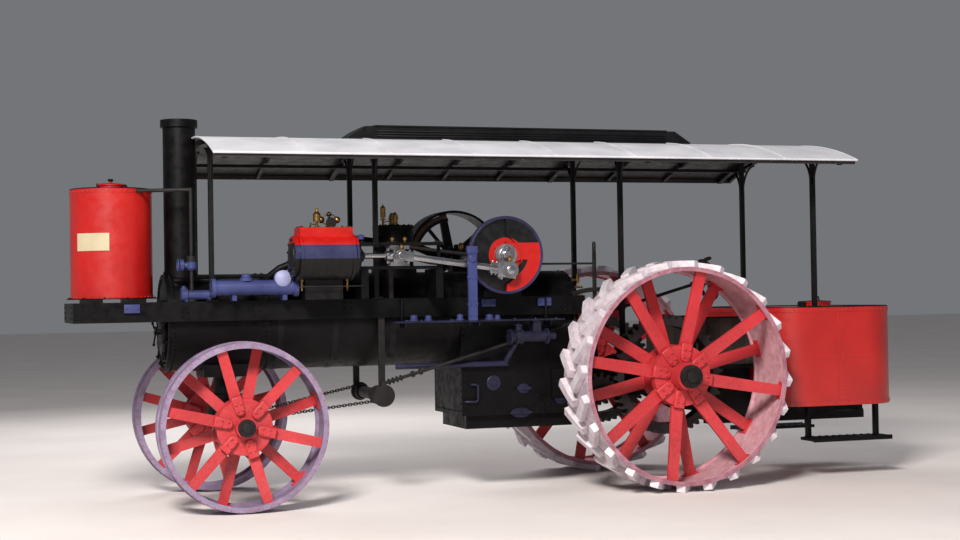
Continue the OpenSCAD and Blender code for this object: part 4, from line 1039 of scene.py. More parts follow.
def cylinder_trim():
    bands, bolts, brass, pipes = Form(), Form(), Form(), Form()
    mid = (CYL_BACK + CYL_FRONT) / 2
    axis_at = Vector((0, CYL_Y, ENGINE_Z))
    # flanges of the jacket and the lagging's bands
    for x in (CYL_BACK + 0.014, CYL_FRONT - 0.014):
        bands.band(axis_at + X_WAY * x, X_WAY, CYL_R - 0.002, 0.028, 0.013, 96)
    bands.make("cylinder_flanges", CYLINDER, bevel=0.002)
    straps = Form()
    for x in (CYL_BACK + 0.14, mid, CYL_FRONT - 0.14):
        straps.band(axis_at + X_WAY * x, X_WAY, CYL_R - 0.001, 0.024, 0.0035, 96)
    straps.make("cylinder_bands", CYLINDER, bevel=0.0008)
    for x, way in ((CYL_BACK - 0.04, -X_WAY), (CYL_FRONT + 0.04, X_WAY)):
        bolts.bolts(around(axis_at + X_WAY * x, X_WAY, 0.158, 12, 15), way, 0.013)
    # gland round the piston rod, with its studs
    bolts.turned(axis_at + X_WAY * (GUIDE_FRONT - 0.024), -X_WAY,
        (-2, 70, 14, 70, 18, 50, 50, 46, 50, 30, 62, 28), 32)
    bolts.bolts(around(axis_at + X_WAY * (GUIDE_FRONT - 0.038), X_WAY, 0.06, 4, 45), -X_WAY, 0.01)
    # outer cover of the front end
    bolts.turned(axis_at + X_WAY * (CYL_FRONT + 0.039), X_WAY, (0, 120, 12, 116, 22, 70, 26, 30, 26, 0),
        48)
    # nuts round the steam chest's cover, seen from the outer side and the top
    x0, x1 = CYL_BACK + 0.034, CYL_FRONT - 0.034
    top = span("engine_cylinder")[1].z
    bolts.rows(Form.bolt, spread(x0, x1, 7), (CYL_Y - 0.112, CYL_Y + 0.112), (top,), UP, 0.011)
    bolts.rows(Form.bolt, (x0, x1), (CYL_Y - 0.038, CYL_Y + 0.038), (top,), UP, 0.011)
    xs = spread(CYL_BACK + 0.085, CYL_BACK + 0.425, 5)
    bolts.rows(Form.bolt, xs, (VALVE_Y,), (CHEST_TOP,), UP, 0.01)
    bolts.make("cylinder_bolts", DARK, angle=30)
    # sight lubricator over the chest, drain cocks under the jacket
    lub = Vector((mid + 0.06, CYL_Y, top))
    brass.turned(lub, UP, (-2, 24, 12, 24, 16, 11, 50, 11, 54, 34, 120, 36, 130, 30, 150, 12, 160, 16,
        172, 16, 178, 0), 28)
    brass.rod(lub + Vector((0.0, 0, 0.03)), lub + Vector((0.055, 0, 0.034)), 0.006, 10)
    brass.turned(lub + Vector((0.055, 0, 0.034)), X_WAY, (0, 14, 8, 14, 8, 0), 18)
    for x in (CYL_BACK + 0.045, CYL_FRONT - 0.045):
        at = Vector((x, CYL_Y + 0.02, ENGINE_Z - CYL_R + 0.003))
        brass.turned(at, -UP, (0, 16, 16, 16, 20, 9, 50, 9, 52, 14, 72, 14, 76, 8, 100, 8), 18)
        brass.rod(at + Vector((0, 0.002, -0.062)), at + Vector((0, 0.042, -0.062)), 0.006, 10)
    brass.make("cylinder_brass", BRASS, angle=30)
    linkage = Form()
    linkage.rod((CYL_BACK - 0.1, CYL_Y + 0.062, ENGINE_Z - CYL_R - 0.059),
        (CYL_FRONT - 0.03, CYL_Y + 0.062, ENGINE_Z - CYL_R - 0.059), 0.006, 10)
    linkage.make("drain_cock_rod", DARK)
    # steam from the dome to the governor, exhaust from the chest towards the smokebox
    dome = middle("steam_dome")
    gov = middle("governor")
    steam = ((0.165, 0.06, 2.42), (0.24, 0.09, 2.425), (0.32, 0.16, 2.43), (0.42, 0.28, 2.435),
        (0.52, 0.4, 2.44), (0.6, 0.485, 2.445), (0.68, 0.555, 2.452))
    pipes.tube([(dome.x + x, y, z) for x, y, z in steam] + [(gov.x - 0.03, 0.596, 2.462)], 0.03, 16)
    exhaust = ((0.12, 0.56, 2.22), (0.16, 0.52, 2.22), (0.24, 0.49, 2.2), (0.34, 0.465, 2.16),
        (0.44, 0.43, 2.08), (0.48, 0.4, 2.01), (0.49, 0.37, 1.945))
    pipes.tube([(mid + x, y, z) for x, y, z in exhaust], 0.036, 16)
    pipes.turned((dome.x + 0.186, 0.066, 2.4205), X_WAY, (-10, 56, 14, 56), 24)
    pipes.make("steam_pipes", BLACK)
    flanges = Form()
    flanges.turned((mid + 0.488, 0.392, 1.985), (0.05, -0.35, -0.93), (-10, 62, 10, 62), 24)
    flanges.make("pipe_flanges", BLACK, bevel=0.0015)


def governor_piece():
    """A new governor in place of the plain one: valve body, pillars, pulley, and balls on arms."""
    at = middle("governor")
    at.z = span("governor")[0].z
    brass, dark = Form(), Form()
    dark.turned(at, UP, (0, 52, 10, 52, 14, 34, 22, 40, 40, 44, 56, 36, 60, 30, 66, 46, 74, 46, 78, 22,
        95, 19, 110, 17), 36)
    dark.bolts(around(at + UP * 0.074, UP, 0.037, 6), UP, 0.006)
    # frame of two curved pillars with the bevel wheels' cover
    pillar = ((0.016, 0.09), (0.034, 0.11), (0.038, 0.15), (0.03, 0.19), (0.014, 0.212))
    for s in (-1, 1):
        dark.tube([at + Vector((0, s * y, z)) for y, z in pillar], 0.0065)
    dark.turned(at + UP * 0.205, UP, (0, 20, 6, 26, 16, 26, 22, 14, 26, 10), 28)
    # pulley on its cross shaft
    dark.rod(at + Vector((0, 0.01, 0.14)), at + Vector((0, 0.11, 0.14)), 0.007, 14)
    dark.turned(at + Vector((0, 0.07, 0.14)), LEFT, (0, 20, 0, 44, 6, 47, 18, 49, 30, 47, 36, 44, 36, 20),
        36)
    dark.make("governor_body", DARK, bevel=0.0008, angle=30)
    brass.rod(at + UP * 0.11, at + UP * 0.236, 0.007, 14)
    brass.turned(at + UP * 0.214, UP, (0, 10, 4, 22, 16, 24, 24, 16, 30, 6, 34, 0), 24)
    ball = [(BALL_R - BALL_R * math.cos(t), BALL_R * math.sin(t)) for t in spread(0, math.pi, 15)]
    upper = ((0.012, 0.226), (0.036, 0.216), (0.06, 0.196), (0.075, 0.19))
    lower = ((0.01, 0.12), (0.034, 0.128), (0.06, 0.146), (0.075, 0.152))
    for s in (-1, 1):
        brass.lathe(at + Vector((s * 0.075, 0, 0.17 - BALL_R)), UP, ball, 28)
        for arm, r, seg in ((upper, 0.0055, 10), (lower, 0.0045, 8)):
            brass.tube([at + Vector((s * x, 0, z)) for x, z in arm], r, seg)
    brass.make("governor_balls", BRASS, replaces=("governor",), angle=30)


def slides_and_rod():
    dark, bright, brass = Form(), Form(), Form()
    x0 = span("crosshead_guide")[0].x
    for z, way in ((ENGINE_Z + 0.125, UP), (ENGINE_Z - 0.125, -UP)):
        spots = (x0 + 0.02, x0 + 0.05, GUIDE_FRONT - 0.06, GUIDE_FRONT - 0.03)
        dark.rows(Form.bolt, spots, (CYL_Y - 0.03, CYL_Y + 0.03), (z,), way, 0.01)
    dark.bolts(around(Vector((GUIDE_FRONT - 0.024, CYL_Y, ENGINE_Z)), X_WAY, 0.132, 8, 22.5), -X_WAY,
        0.011)
    dark.make("guide_bolts", DARK, angle=30)
    # crosshead: gib plates, cotter through the piston rod's end and the pin's nut
    for z0, z1 in ((-0.094, -0.086), (0.086, 0.094)):
        bright.box((CROSS_X - 0.094, CYL_Y - 0.049, ENGINE_Z + z0),
            (CROSS_X + 0.094, CYL_Y + 0.049, ENGINE_Z + z1), 0.002)
    bright.turned((CROSS_X + 0.059, CYL_Y, ENGINE_Z), X_WAY, (0, 44, 10, 48, 60, 48, 70, 36, 70, 26), 32)
    bright.box((CROSS_X + 0.085, CYL_Y - 0.0065, ENGINE_Z - 0.072),
        (CROSS_X + 0.115, CYL_Y + 0.0065, ENGINE_Z + 0.072), 0.002)
    bright.make("crosshead_trim", STEEL, bevel=0.001, angle=30)
    for dx in (-0.06, 0.06):
        brass.turned((CROSS_X + dx, CYL_Y, ENGINE_Z + 0.125), UP,
            (-1, 10, 12, 10, 16, 20, 40, 22, 46, 14, 56, 6, 60, 0), 20)
    brass.make("guide_oil_cups", BRASS, angle=30)
    cup = Form()
    cup.turned((GUIDE_FRONT - 0.052, CYL_Y, ENGINE_Z + 0.149), UP, (0, 18, 4, 30, 36, 32, 44, 22, 50, 0),
        24)
    cup.make("guide_lubricator", BLUE, angle=30)

    # connecting rod: strap, cotters and bolts at both ends, drawn along the rod
    pin = Vector((CRANK_X, ROD_Y, ENGINE_Z - THROW))
    eye = Vector((CROSS_X, ROD_Y, ENGINE_Z))
    along = (eye - pin).normalized()
    across = along.cross(LEFT)
    straps, cups = Form(), Form()

    def slab(a, b, half_h, half_w, bevel=0.004):
        """A block along the rod from a to b metres after the crank pin."""
        turn = Matrix((along, LEFT, -across)).transposed()
        lo = pin + Vector((a, -half_w, -half_h))
        hi = pin + Vector((b, half_w, half_h))
        straps.box(lo, hi, bevel, turn=turn, about=pin)

    slab(-0.06, 0.12, 0.074, 0.026)
    slab(0.12, 0.2, 0.052, 0.022)
    slab(0.062, 0.086, 0.096, 0.009, bevel=0.002)
    slab(0.092, 0.108, 0.09, 0.009, bevel=0.002)
    length = (eye - pin).length
    slab(length - 0.11, length + 0.036, 0.044, 0.026)
    slab(length - 0.082, length - 0.064, 0.062, 0.008, bevel=0.002)
    for a in (0.135, 0.175):
        for u in (-1, 1):
            straps.bolt(pin + along * a + across * u * 0.052, across * u, 0.012)
    slab(0.195, length - 0.105, 0.03, 0.017, bevel=0.012)
    straps.turned(pin + LEFT * 0.03, LEFT, (-1, 60, 4, 60, 4, 44, 10, 44, 18, 40, 24, 28, 24, 0), 40)
    straps.turned(eye + LEFT * 0.026, LEFT, (-1, 36, 6, 36, 10, 30, 10, 0), 32)
    straps.make("rod_straps", STEEL, "connecting_rod", angle=30)
    for at in (pin + UP * 0.076, eye + UP * 0.05):
        cups.turned(at, UP, (-4, 10, 10, 10, 14, 22, 42, 24, 48, 16, 56, 8, 60, 0), 20)
    cups.make("rod_oil_cups", BRASS, "connecting_rod", angle=30)


def crank_trim():
    web, dark = Form(), Form()
    centre = Vector((CRANK_X, DISC_OUT - 0.034, ENGINE_Z))

    def at(r, deg):
        """A point behind the disc's face, deg degrees over the rear."""
        a = math.radians(deg)
        return centre + Vector((-math.cos(a) * r, -0.001, math.sin(a) * r))

    # tapered web from the hub to the weight on the rear side
    outline = ((0.1, 86), (0.132, 60), (0.182, 39), (0.338, 19.5), (0.338, -6), (0.18, -12), (0.1, -45))
    web.plate([at(r, deg) for r, deg in outline], LEFT * 0.026)
    web.make("crank_disc_web", RED, "crankshaft_and_flywheel", bevel=0.004)
    hub = Vector((CRANK_X, DISC_OUT, ENGINE_Z))
    dark.turned(hub, LEFT, (-2, 76, 10, 76, 14, 70, 14, 48, 40, 46, 46, 40, 46, 0), 48)
    dark.box(hub + Vector((-0.008, 0.012, 0.04)), hub + Vector((0.008, 0.03, 0.074)), 0.002)
    dark.make("shaft_end", STEEL, "crankshaft_and_flywheel", bevel=0.0015, angle=30)
    edge = Form()
    edge.bolts(around(centre, LEFT, 0.128, 6, 30), LEFT, 0.013)
    # bead round the disc's edge, blue from the disc's paint as a painted reflection of the sky
    edge.ring((CRANK_X, DISC_OUT - 0.002, ENGINE_Z), LEFT, DISC_R - 0.007, 0.0065, 128, 10)
    edge.make("crank_disc_edge", CRANK, "crankshaft_and_flywheel")


def bearing_trim():
    parts, brass = Form(), Form()
    for side in (1, -1):
        y = side * BEARING_Y
        for dx in (-0.084, 0.084):
            for dy in (-0.045, 0.045):
                parts.turned((CRANK_X + dx, y + dy, ENGINE_Z - 0.0005), UP, (0, 15, 34, 15, 34, 0), 6)
                parts.rod((CRANK_X + dx, y + dy, ENGINE_Z + 0.03),
                    (CRANK_X + dx, y + dy, ENGINE_Z + 0.056), 0.008)
        # cap with its flanges
        for x in (CRANK_X - 0.09, CRANK_X + 0.09):
            parts.box((x - 0.018, y - 0.068, ENGINE_Z + 0.002), (x + 0.018, y + 0.068, ENGINE_Z + 0.026),
                0.004)
        spots = (CRANK_X - 0.155, CRANK_X + 0.155)
        parts.rows(Form.bolt, spots, (side * 0.5, side * BEARING_Y), (1.928,), UP, 0.014)
        for dx in (-0.055, 0.055):
            parts.side_box(side, (CRANK_X + dx - 0.012, CRANK_X + dx + 0.012), (0.681, 0.7),
                (1.93, ENGINE_Z - 0.1), 0.004)
        brass.turned((CRANK_X, y, ENGINE_Z + 0.09), UP,
            (-2, 13, 14, 13, 18, 28, 56, 30, 64, 22, 74, 10, 80, 0), 24)
    parts.make("bearing_caps", BLACK, bevel=0.001, angle=30)
    brass.make("bearing_oil_cups", BRASS, angle=30)


def flywheel_trim():
    """Hub bolts and key, and the clutch inside the rim: two curved shoes on arms."""
    y_mid = middle("flywheel").y
    dark, shoes, wood = Form(), Form(), Form()
    hub = Vector((CRANK_X, y_mid - 0.08, ENGINE_Z))
    dark.turned(hub, -LEFT, (-2, 94, 10, 94, 14, 86, 14, 50), 48)
    dark.bolts(around(hub - LEFT * 0.012, LEFT, 0.072, 6, 20), -LEFT, 0.01)
    dark.box(hub + Vector((-0.009, -0.045, 0.044)), hub + Vector((0.009, -0.01, 0.064)), 0.002)
    # inner side: clutch arms
    inner = Vector((CRANK_X, y_mid + 0.081, ENGINE_Z))
    dark.turned(inner, LEFT, (-2, 98, 20, 98, 24, 80, 40, 80, 44, 90, 56, 90, 56, 50), 48)
    for deg in (50, 230):
        a = math.radians(deg)
        d = Vector((math.cos(a), 0, math.sin(a)))
        dark.rod(inner + LEFT * 0.014 + d * 0.09, inner + LEFT * 0.014 + d * 0.405, 0.02, 16)
        dark.rod(inner + LEFT * 0.05 + d * 0.085, inner + LEFT * 0.022 + d * 0.3, 0.01)
    dark.make("flywheel_hub", DARK, "crankshaft_and_flywheel", bevel=0.001, angle=30)
    for a in (turn_of(50), turn_of(230)):
        shoes.band(inner + LEFT * 0.014, LEFT, 0.405, 0.07, 0.03, 24, a - 32, a + 32)
        wood.band(inner + LEFT * 0.014, LEFT, 0.4355, 0.064, 0.04, 24, a - 30, a + 30)
    shoes.make("clutch_shoes", DARK, "crankshaft_and_flywheel", bevel=0.002)
    wood.make("clutch_blocks", LEATHER, "crankshaft_and_flywheel", bevel=0.002)


def turn_of(deg):
    """The angle of a band that points the way that deg does in the X and Z plane."""
    _, u, w = frame_of(LEFT)
    d = Vector((math.cos(math.radians(deg)), 0, math.sin(math.radians(deg))))
    return math.degrees(math.atan2(d.dot(w), d.dot(u)))


def valve_trim():
    bright, dark = Form(), Form()
    ecc = Vector((CRANK_X + 0.045, 0.495, ENGINE_Z))
    for z in (-0.136, 0.136):
        dark.box((ecc.x - 0.036, 0.478, ENGINE_Z + z - 0.022),
            (ecc.x + 0.036, 0.512, ENGINE_Z + z + 0.022), 0.004)
        for dx in (-0.034, 0.034):
            dark.bolt((ecc.x + dx, ecc.y, ENGINE_Z + z), X_WAY if dx > 0 else -X_WAY, 0.01)
    dark.band(ecc, LEFT, 0.1275, 0.05, 0.012, 72)
    rock = Vector((2.65, VALVE_Y, ENGINE_Z + 0.11))
    for y in (0.46, 0.607):
        dark.turned((rock.x, y, rock.z), LEFT, (-12, 36, 12, 36), 28)
    for x in (2.8, 2.98):
        bright.turned((x, VALVE_Y, rock.z), X_WAY, (-30, 16, -26, 24, 26, 24, 30, 16), 6)
    bright.turned((3.098, VALVE_Y, rock.z), X_WAY, (-40, 22, -36, 30, 0, 34, 60, 34), 28)
    dark.make("eccentric_strap", DARK, bevel=0.001, angle=30)
    # reach rod back to the reversing lever
    bright.tube([(2.646, 0.462, 2.3), (2.45, 0.452, 2.245), (2.25, 0.442, 2.195), (2.1, 0.44, 2.18),
        (0.56, 0.44, 2.18)], 0.01, 12)
    bright.make("valve_rods", DARK, angle=30)


cylinder_trim()
governor_piece()
slides_and_rod()
crank_trim()
bearing_trim()
flywheel_trim()
valve_trim()


# Roof, tanks, frames, platform, drawbar and steering

ROOF_LOW, ROOF_HIGH = span("canopy_roof")
ROOF_HALF = ROOF_HIGH.y
ROOF_TOP = ROOF_HIGH.z
RISE = ROOF_TOP - EAVE_Z
ARC_R = (ROOF_HALF**2 + RISE**2) / (2 * RISE)
ARC_Z = EAVE_Z + RISE - ARC_R
ROOF_T = 0.014
PUMP_Y, PUMP_Z = 0.74, 1.486
DECK_TOP = 1.2003
CHAIN_Y = 0.26
ROLL = Vector((2.75, 0, 0.96))
STEP_TOP = 0.3995
POSTS = ((4.33, 0.495, 1.868), (2.79, 0.495, 1.868), (0.35, 0.62, 1.2), (-1.7, 0.76, 1.71))


def roof_z(y, under=0.0):
    return ARC_Z + math.sqrt((ARC_R - under) ** 2 - y * y)


def arc_strip(form, x0, x1, under, thick, half_w, count=40):
    """A strip across the roof, with its top under metres below the sheet's and thick metres deep."""
    rings = []
    for y in spread(-half_w, half_w, count + 1):
        top, low = roof_z(y, under), roof_z(y, under + thick)
        rings.append([Vector(p) for p in ((x0, y, top), (x1, y, top), (x1, y, low), (x0, y, low))])
    form.skin(rings)


def roof_pieces():
    seams, beads, rafters, runners, knees = Form(), Form(), Form(), Form(), Form()
    x0, x1 = ROOF_LOW.x, ROOF_HIGH.x
    for x in spread(x0, x1, 9)[1:-1]:
        arc_strip(seams, x - 0.011, x + 0.011, -0.009, 0.0095, ROOF_HALF)
    seams.make("roof_seams", ROOF, bevel=0.003)
    # rolled edges along the eaves and at both ends
    for side in (1, -1):
        beads.rod((x0, side * ROOF_HALF, EAVE_Z - 0.007), (x1, side * ROOF_HALF, EAVE_Z - 0.007), 0.011,
            14)
    for x in (x0, x1):
        beads.tube([(x, y, roof_z(y, 0.007)) for y in spread(-ROOF_HALF, ROOF_HALF, 41)], 0.011, 14)
    beads.make("roof_edge", ROOF)
    # lighter rafters between the posts' bows, and two runners under them
    spots = [x0 + 0.03]
    for (b, _, _), (a, _, _) in zip(POSTS, POSTS[1:]):
        spots += spread(a, b, max(1, round((b - a) / 0.62) - 1) + 2)[1:-1]
    for x in spots:
        arc_strip(rafters, x - 0.018, x + 0.018, ROOF_T + 0.0003, 0.042, 1.29, 24)
    rafters.make("roof_rafters", TRIM, bevel=0.003)
    for y in (-0.86, 0.86):
        z = roof_z(y, ROOF_T + 0.0556)
        runners.box((x0 + 0.06, y - 0.022, z - 0.034), (x1 - 0.06, y + 0.022, z - 0.001), 0.004)
    runners.make("roof_runners", TRIM)
    # curved knees and foot plates of the posts
    for px, py, pz in POSTS:
        for side in (1, -1):
            y = side * py
            top = roof_z(py, ROOF_T + 0.055)
            for way in (1, -1):
                knees.tube([(px, y + way * (0.286 - 0.26 * math.cos(t)), top - 0.312 + 0.3 * math.sin(t))
                            for t in spread(0, math.pi / 2, 9)], 0.012)
            knees.box((px - 0.055, y - 0.055, pz + 0.0003), (px + 0.055, y + 0.055, pz + 0.012), 0.002)
            spots = [px - 0.038, px + 0.038], [y - 0.038, y + 0.038], [pz + 0.012]
            knees.rows(Form.bolt, *spots, UP, 0.009)
    knees.make("post_fittings", TRIM, bevel=0.001)


def ridge_vent():
    low, high = span("roof_ridge_vent")
    half = high.y
    trim = Form()
    # capping strips along both edges and battens over the sheet
    top_under = ROOF_TOP - high.z
    x0, x1 = low.x + 0.262, high.x - 0.262
    for x in spread(x0 + 0.02, x1 - 0.02, 6):
        arc_strip(trim, x - 0.014, x + 0.014, top_under - 0.008, 0.01, half, 16)
    for side in (1, -1):
        y = side * half
        z = roof_z(half, top_under)
        trim.rod((x0, y, z), (x1, y, z), 0.01)
        foot = roof_z(half)
        trim.side_box(side, (low.x + 0.02, high.x - 0.02), (half, half + 0.03),
            (foot - 0.004, foot + 0.006), 0.001)
        # slats let into the side
        for z in spread(foot + 0.026, foot + 0.074, 3):
            trim.side_box(side, (x0 + 0.02, x1 - 0.02), (half, half + 0.01), (z, z + 0.01), 0.001)
    trim.make("ridge_vent_trim", TRIM, bevel=0.001)


def front_tank_pieces():
    low, high = span("front_tank")
    x = (low.x + high.x) / 2
    z0 = low.z
    r = high.x - x
    z1 = z0 + 1.0
    rings, rivets, lid = Form(), Form(), Form()
    rings.band((x, 0, z0 + 0.02), UP, r - 0.0005, 0.04, 0.004, 128)
    rings.band((x, 0, z1 - 0.018), UP, r - 0.0005, 0.036, 0.004, 128)
    # lap of the sheet down the back
    a = math.radians(200)
    seam_dir = Vector((math.cos(a), math.sin(a), 0))
    side = seam_dir.cross(UP)
    at = Vector((x, 0, 0)) + seam_dir * (r - 0.001)
    rings.plate([at + side * u * 0.03 + UP * (z0 + 0.04 if v < 0 else z1 - 0.036) for u, v in CORNERS],
        seam_dir * 0.004)
    rings.make("front_tank_rings", RED, bevel=0.001)
    for z in (z0 + 0.02, z1 - 0.018):
        rivets.rivets(around((x, 0, z), UP, r + 0.003, 46), None, 0.0075)
    for z in spread(z0 + 0.07, z0 + 0.93, 22):
        for u in (-0.016, 0.016):
            rivets.rivet(at + side * u + seam_dir * 0.0035 + UP * z, seam_dir, 0.007)
    rivets.make("front_tank_rivets", RED, angle=60)
    # lid with its hinge and hasp, ring round the top
    lid.ring((x, 0, z1 + 0.002), UP, r - 0.008, 0.009, 128, 10)
    lid.turned((x, 0, z1 + 0.055), UP, (0, 112, 6, 108, 10, 60, 14, 30, 14, 0), 48)
    lid.turned((x, 0, z1 + 0.084), UP, (0, 14, 4, 24, 14, 27, 24, 20, 26, 0), 28)
    lid.box((x - 0.15, -0.03, z1 + 0.001), (x - 0.108, 0.03, z1 + 0.05), 0.006)
    lid.rod((x - 0.128, -0.042, z1 + 0.052), (x - 0.128, 0.042, z1 + 0.052), 0.008, 14)
    lid.box((x + 0.108, -0.014, z1 + 0.001), (x + 0.128, 0.014, z1 + 0.066), 0.004)
    lid.make("front_tank_lid", TRIM, bevel=0.001, angle=30)
    # blank plate on the side, bent to the tank
    plate = Form()
    plate.band((x, 0, 2.417), UP, r - 0.0005, 0.16, 0.008, 24, start=-58, stop=-8)
    plate.make("front_tank_plate", CREAM, bevel=0.002)
    # saddle of angle iron at the foot
    seat = Form()
    seat.band((x, 0, z0 + 0.004), UP, r + 0.003, 0.008, 0.034, 128)
    for p, _ in around((x, 0, z0 + 0.008), UP, r + 0.022, 12, 15):
        if abs(p.y) < 0.5:
            seat.bolt(p, UP, 0.01)
    seat.make("front_tank_foot", BLACK, bevel=0.001)


def rounded_path(x0, x1, half_w, corner):
    """Points and outward directions round a rectangle with round corners, seen from above."""
    out = []
    left, back, front = half_w - corner, x0 + corner, x1 - corner
    for quarter, (x, y) in enumerate(((front, left), (back, left), (back, -left), (front, -left))):
        for deg in spread(quarter * 90, quarter * 90 + 90, 13):
            d = Vector((math.cos(math.radians(deg)), math.sin(math.radians(deg)), 0))
            out.append((Vector((x, y, 0)) + d * corner, d))
    return out


def walk(path, step):
    """Evenly spaced points along a closed path."""
    out = []
    n = len(path)
    left = 0.0
    for i in range(n):
        (p, d), (q, e) = path[i], path[(i + 1) % n]
        length = (q - p).length
        s = left
        while s < length:
            t = s / length
            out.append((p.lerp(q, t), d.lerp(e, t).normalized()))
            s += step
        left = s - length
    return out


def rear_tank_pieces():
    low, high = span("rear_tank")
    z0 = low.z
    z1 = z0 + 0.98
    x0, half_w = low.x, high.y
    path = rounded_path(x0, high.x, half_w, 0.42)
    straps, rivets, lid = Form(), Form(), Form()

    def hoop(z, h, t):
        """A flat hoop round the tank from z up, h high and t thick."""
        section = ((-0.0005, z), (t, z), (t, z + h), (-0.0005, z + h))
        straps.skin([[p + d * off + UP * up for off, up in section] for p, d in path], closed=True)

    hoop(z0 + 0.002, 0.045, 0.005)
    hoop(z1 - 0.046, 0.044, 0.005)
    hoop(z0 + 0.47, 0.05, 0.003)
    # upright laps of the sheets
    for x, y, d in ((x0 + 0.73, half_w, LEFT), (x0 + 0.73, -half_w, -LEFT), (x0, 0, -X_WAY)):
        p = Vector((x, y, 0))
        side = d.cross(UP)
        q = p - d * 0.0005
        straps.plate([q + side * u * 0.032 + UP * (z0 + 0.047 if v < 0 else z1 - 0.046)
            for u, v in CORNERS], d * 0.004)
        for z in spread(z0 + 0.075, z0 + 0.905, 20):
            for u in (-0.017, 0.017):
                rivets.rivet(p + side * u + d * 0.003 + UP * z, d, 0.0075)
    straps.make("rear_tank_straps", RED, bevel=0.0012)
    for z in (z0 + 0.025, z1 - 0.024):
        for p, d in walk(path, 0.052):
            rivets.rivet(p + d * 0.0045 + UP * z, d, 0.008)
    rivets.make("rear_tank_rivets", RED, angle=60)
    # roll round the top edge, lid and hasp
    lid.tube([p - d * 0.01 + UP * (z1 + 0.001) for p, d in path], 0.01, closed=True)
    at = Vector((x0 + 0.42, 0, z1 + 0.052))
    lid.turned(at, UP, (-1, 155, 5, 150, 10, 90, 14, 20, 14, 0), 56)
    handle = ((-0.05, 0.008), (-0.05, 0.04), (-0.036, 0.052), (0.036, 0.052), (0.05, 0.04), (0.05, 0.008))
    lid.tube([at + Vector((0, y, z)) for y, z in handle], 0.008, 12)
    lid.box((at.x + 0.15, -0.05, z1 + 0.001), (at.x + 0.2, 0.05, z1 + 0.046), 0.006)
    lid.rod((at.x + 0.176, -0.062, z1 + 0.05), (at.x + 0.176, 0.062, z1 + 0.05), 0.009, 14)
    lid.make("rear_tank_lid", TRIM, bevel=0.001, angle=30)
    # blank plate on the rear
    plate = Form()
    plate.box((x0 - 0.0095, -0.21, z0 + 0.62), (x0 - 0.0035, 0.21, z0 + 0.8), 0.002)
    plate.rows(Form.rivet, (x0 - 0.009,), (-0.19, 0.19), (z0 + 0.64, z0 + 0.78), -X_WAY, 0.007)
    plate.make("rear_tank_plate", BRASS)


def frame_rivets():
    rivets = Form()
    front = span("side_frames")[1].x
    crossings = (0.84, 0.9, 1.8, 1.86, 3.05, 3.11, 3.9, 3.96, 4.55, 4.61)
    low, high = span("rear_frame")
    for side in (1, -1):
        for y, size, xs, zs in (
            (FRAME_OUT, 0.012, crossings, (FRAME_LOW + 0.04, FRAME_LOW + 0.09, FRAME_TOP - 0.04)),
            (FRAME_OUT, 0.01, (front - 0.03, front - 0.08),
                spread(FRAME_LOW + 0.035, FRAME_LOW + 0.146, 4)),
            (FRAME_OUT, 0.01, (4.98, 5.03, 5.32, 5.37), (FRAME_TOP - 0.035, FRAME_TOP - 0.08)),
            (high.y, 0.01, spread(low.x + 0.09, low.x + 0.97, 9), (low.z + 0.035,)),
            (high.y, 0.011, (-1.05, -0.95, -0.55, 0.3, 0.62, 0.8, 0.95), (1.1, 1.04)),
        ):
            rivets.rows(Form.rivet, xs, (side * y,), zs, LEFT * side, size)
        y = side * high.y
        # bearing housing of the axle on the plate
        rivets.turned((0, y - side * 0.001, REAR_Z), LEFT * side,
            (0, 150, 20, 150, 30, 120, 50, 110, 50, 64), 48)
        rivets.bolts(around(Vector((0, y + side * 0.019, REAR_Z)), LEFT, 0.134, 8, 22.5), LEFT * side,
            0.011)
    cross_zs = (FRAME_LOW + 0.04, FRAME_LOW + 0.09, FRAME_LOW + 0.14)
    rivets.rows(Form.rivet, (front,), (-0.45, -0.4, 0.4, 0.45), cross_zs, X_WAY, 0.011)
    rivets.make("frame_rivets", BLACK, angle=40)


def ledge_fittings():
    """Small fittings on the ledge under the engine."""
    top = 1.652
    parts = Form()
    for x, h, r in ((2.5, 0.046, 0.034), (2.36, 0.04, 0.03), (2.05, 0.046, 0.03), (1.76, 0.04, 0.036),
            (1.68, 0.032, 0.026)):
        parts.lathe((x, 0.745, top), UP, [(-0.001, r * 1.4), (0.01, r * 1.4), (0.014, r), (h, r),
            (h + 0.01, r * 0.7), (h + 0.016, 0)], 24)
        parts.bolt((x + r * 2.2, 0.745, top), UP, 0.009)
    parts.rows(Form.bolt, spread(1.1, 2.57, 8), (0.78,), (top,), UP, 0.009)
    # bearing of the rocker at the head of the post
    px = FIRE_FRONT + 0.042
    head = span("side_step")[1].z
    parts.box((px - 0.052, 0.936, head - 0.06), (px + 0.052, 0.98, head + 0.008), 0.008)
    parts.turned((px, 0.934, head - 0.11), LEFT, (0, 34, 50, 34, 54, 28, 54, 0), 28)
    for z in (2.05, 1.8):
        parts.box((px - 0.047, 0.9365, z - 0.016), (px + 0.047, 0.9785, z + 0.016), 0.004)
        parts.rows(Form.bolt, (px - 0.03, px + 0.03), (0.9785,), (z,), LEFT, 0.009)
    parts.rows(Form.bolt, (px - 0.028, px + 0.028), (0.976,), (top + 0.046,), LEFT, 0.01)
    # small covers on the outside of the frame
    for x in (1.13, 1.7, 5.05):
        parts.box((x - 0.07, FRAME_OUT - 0.001, 1.772), (x + 0.07, FRAME_OUT + 0.03, 1.85), 0.008)
        parts.rows(Form.bolt, (x - 0.05, x + 0.05), (FRAME_OUT + 0.029,), (1.811,), LEFT, 0.009)
    parts.make("ledge_fittings", BLUE, bevel=0.001, angle=30)


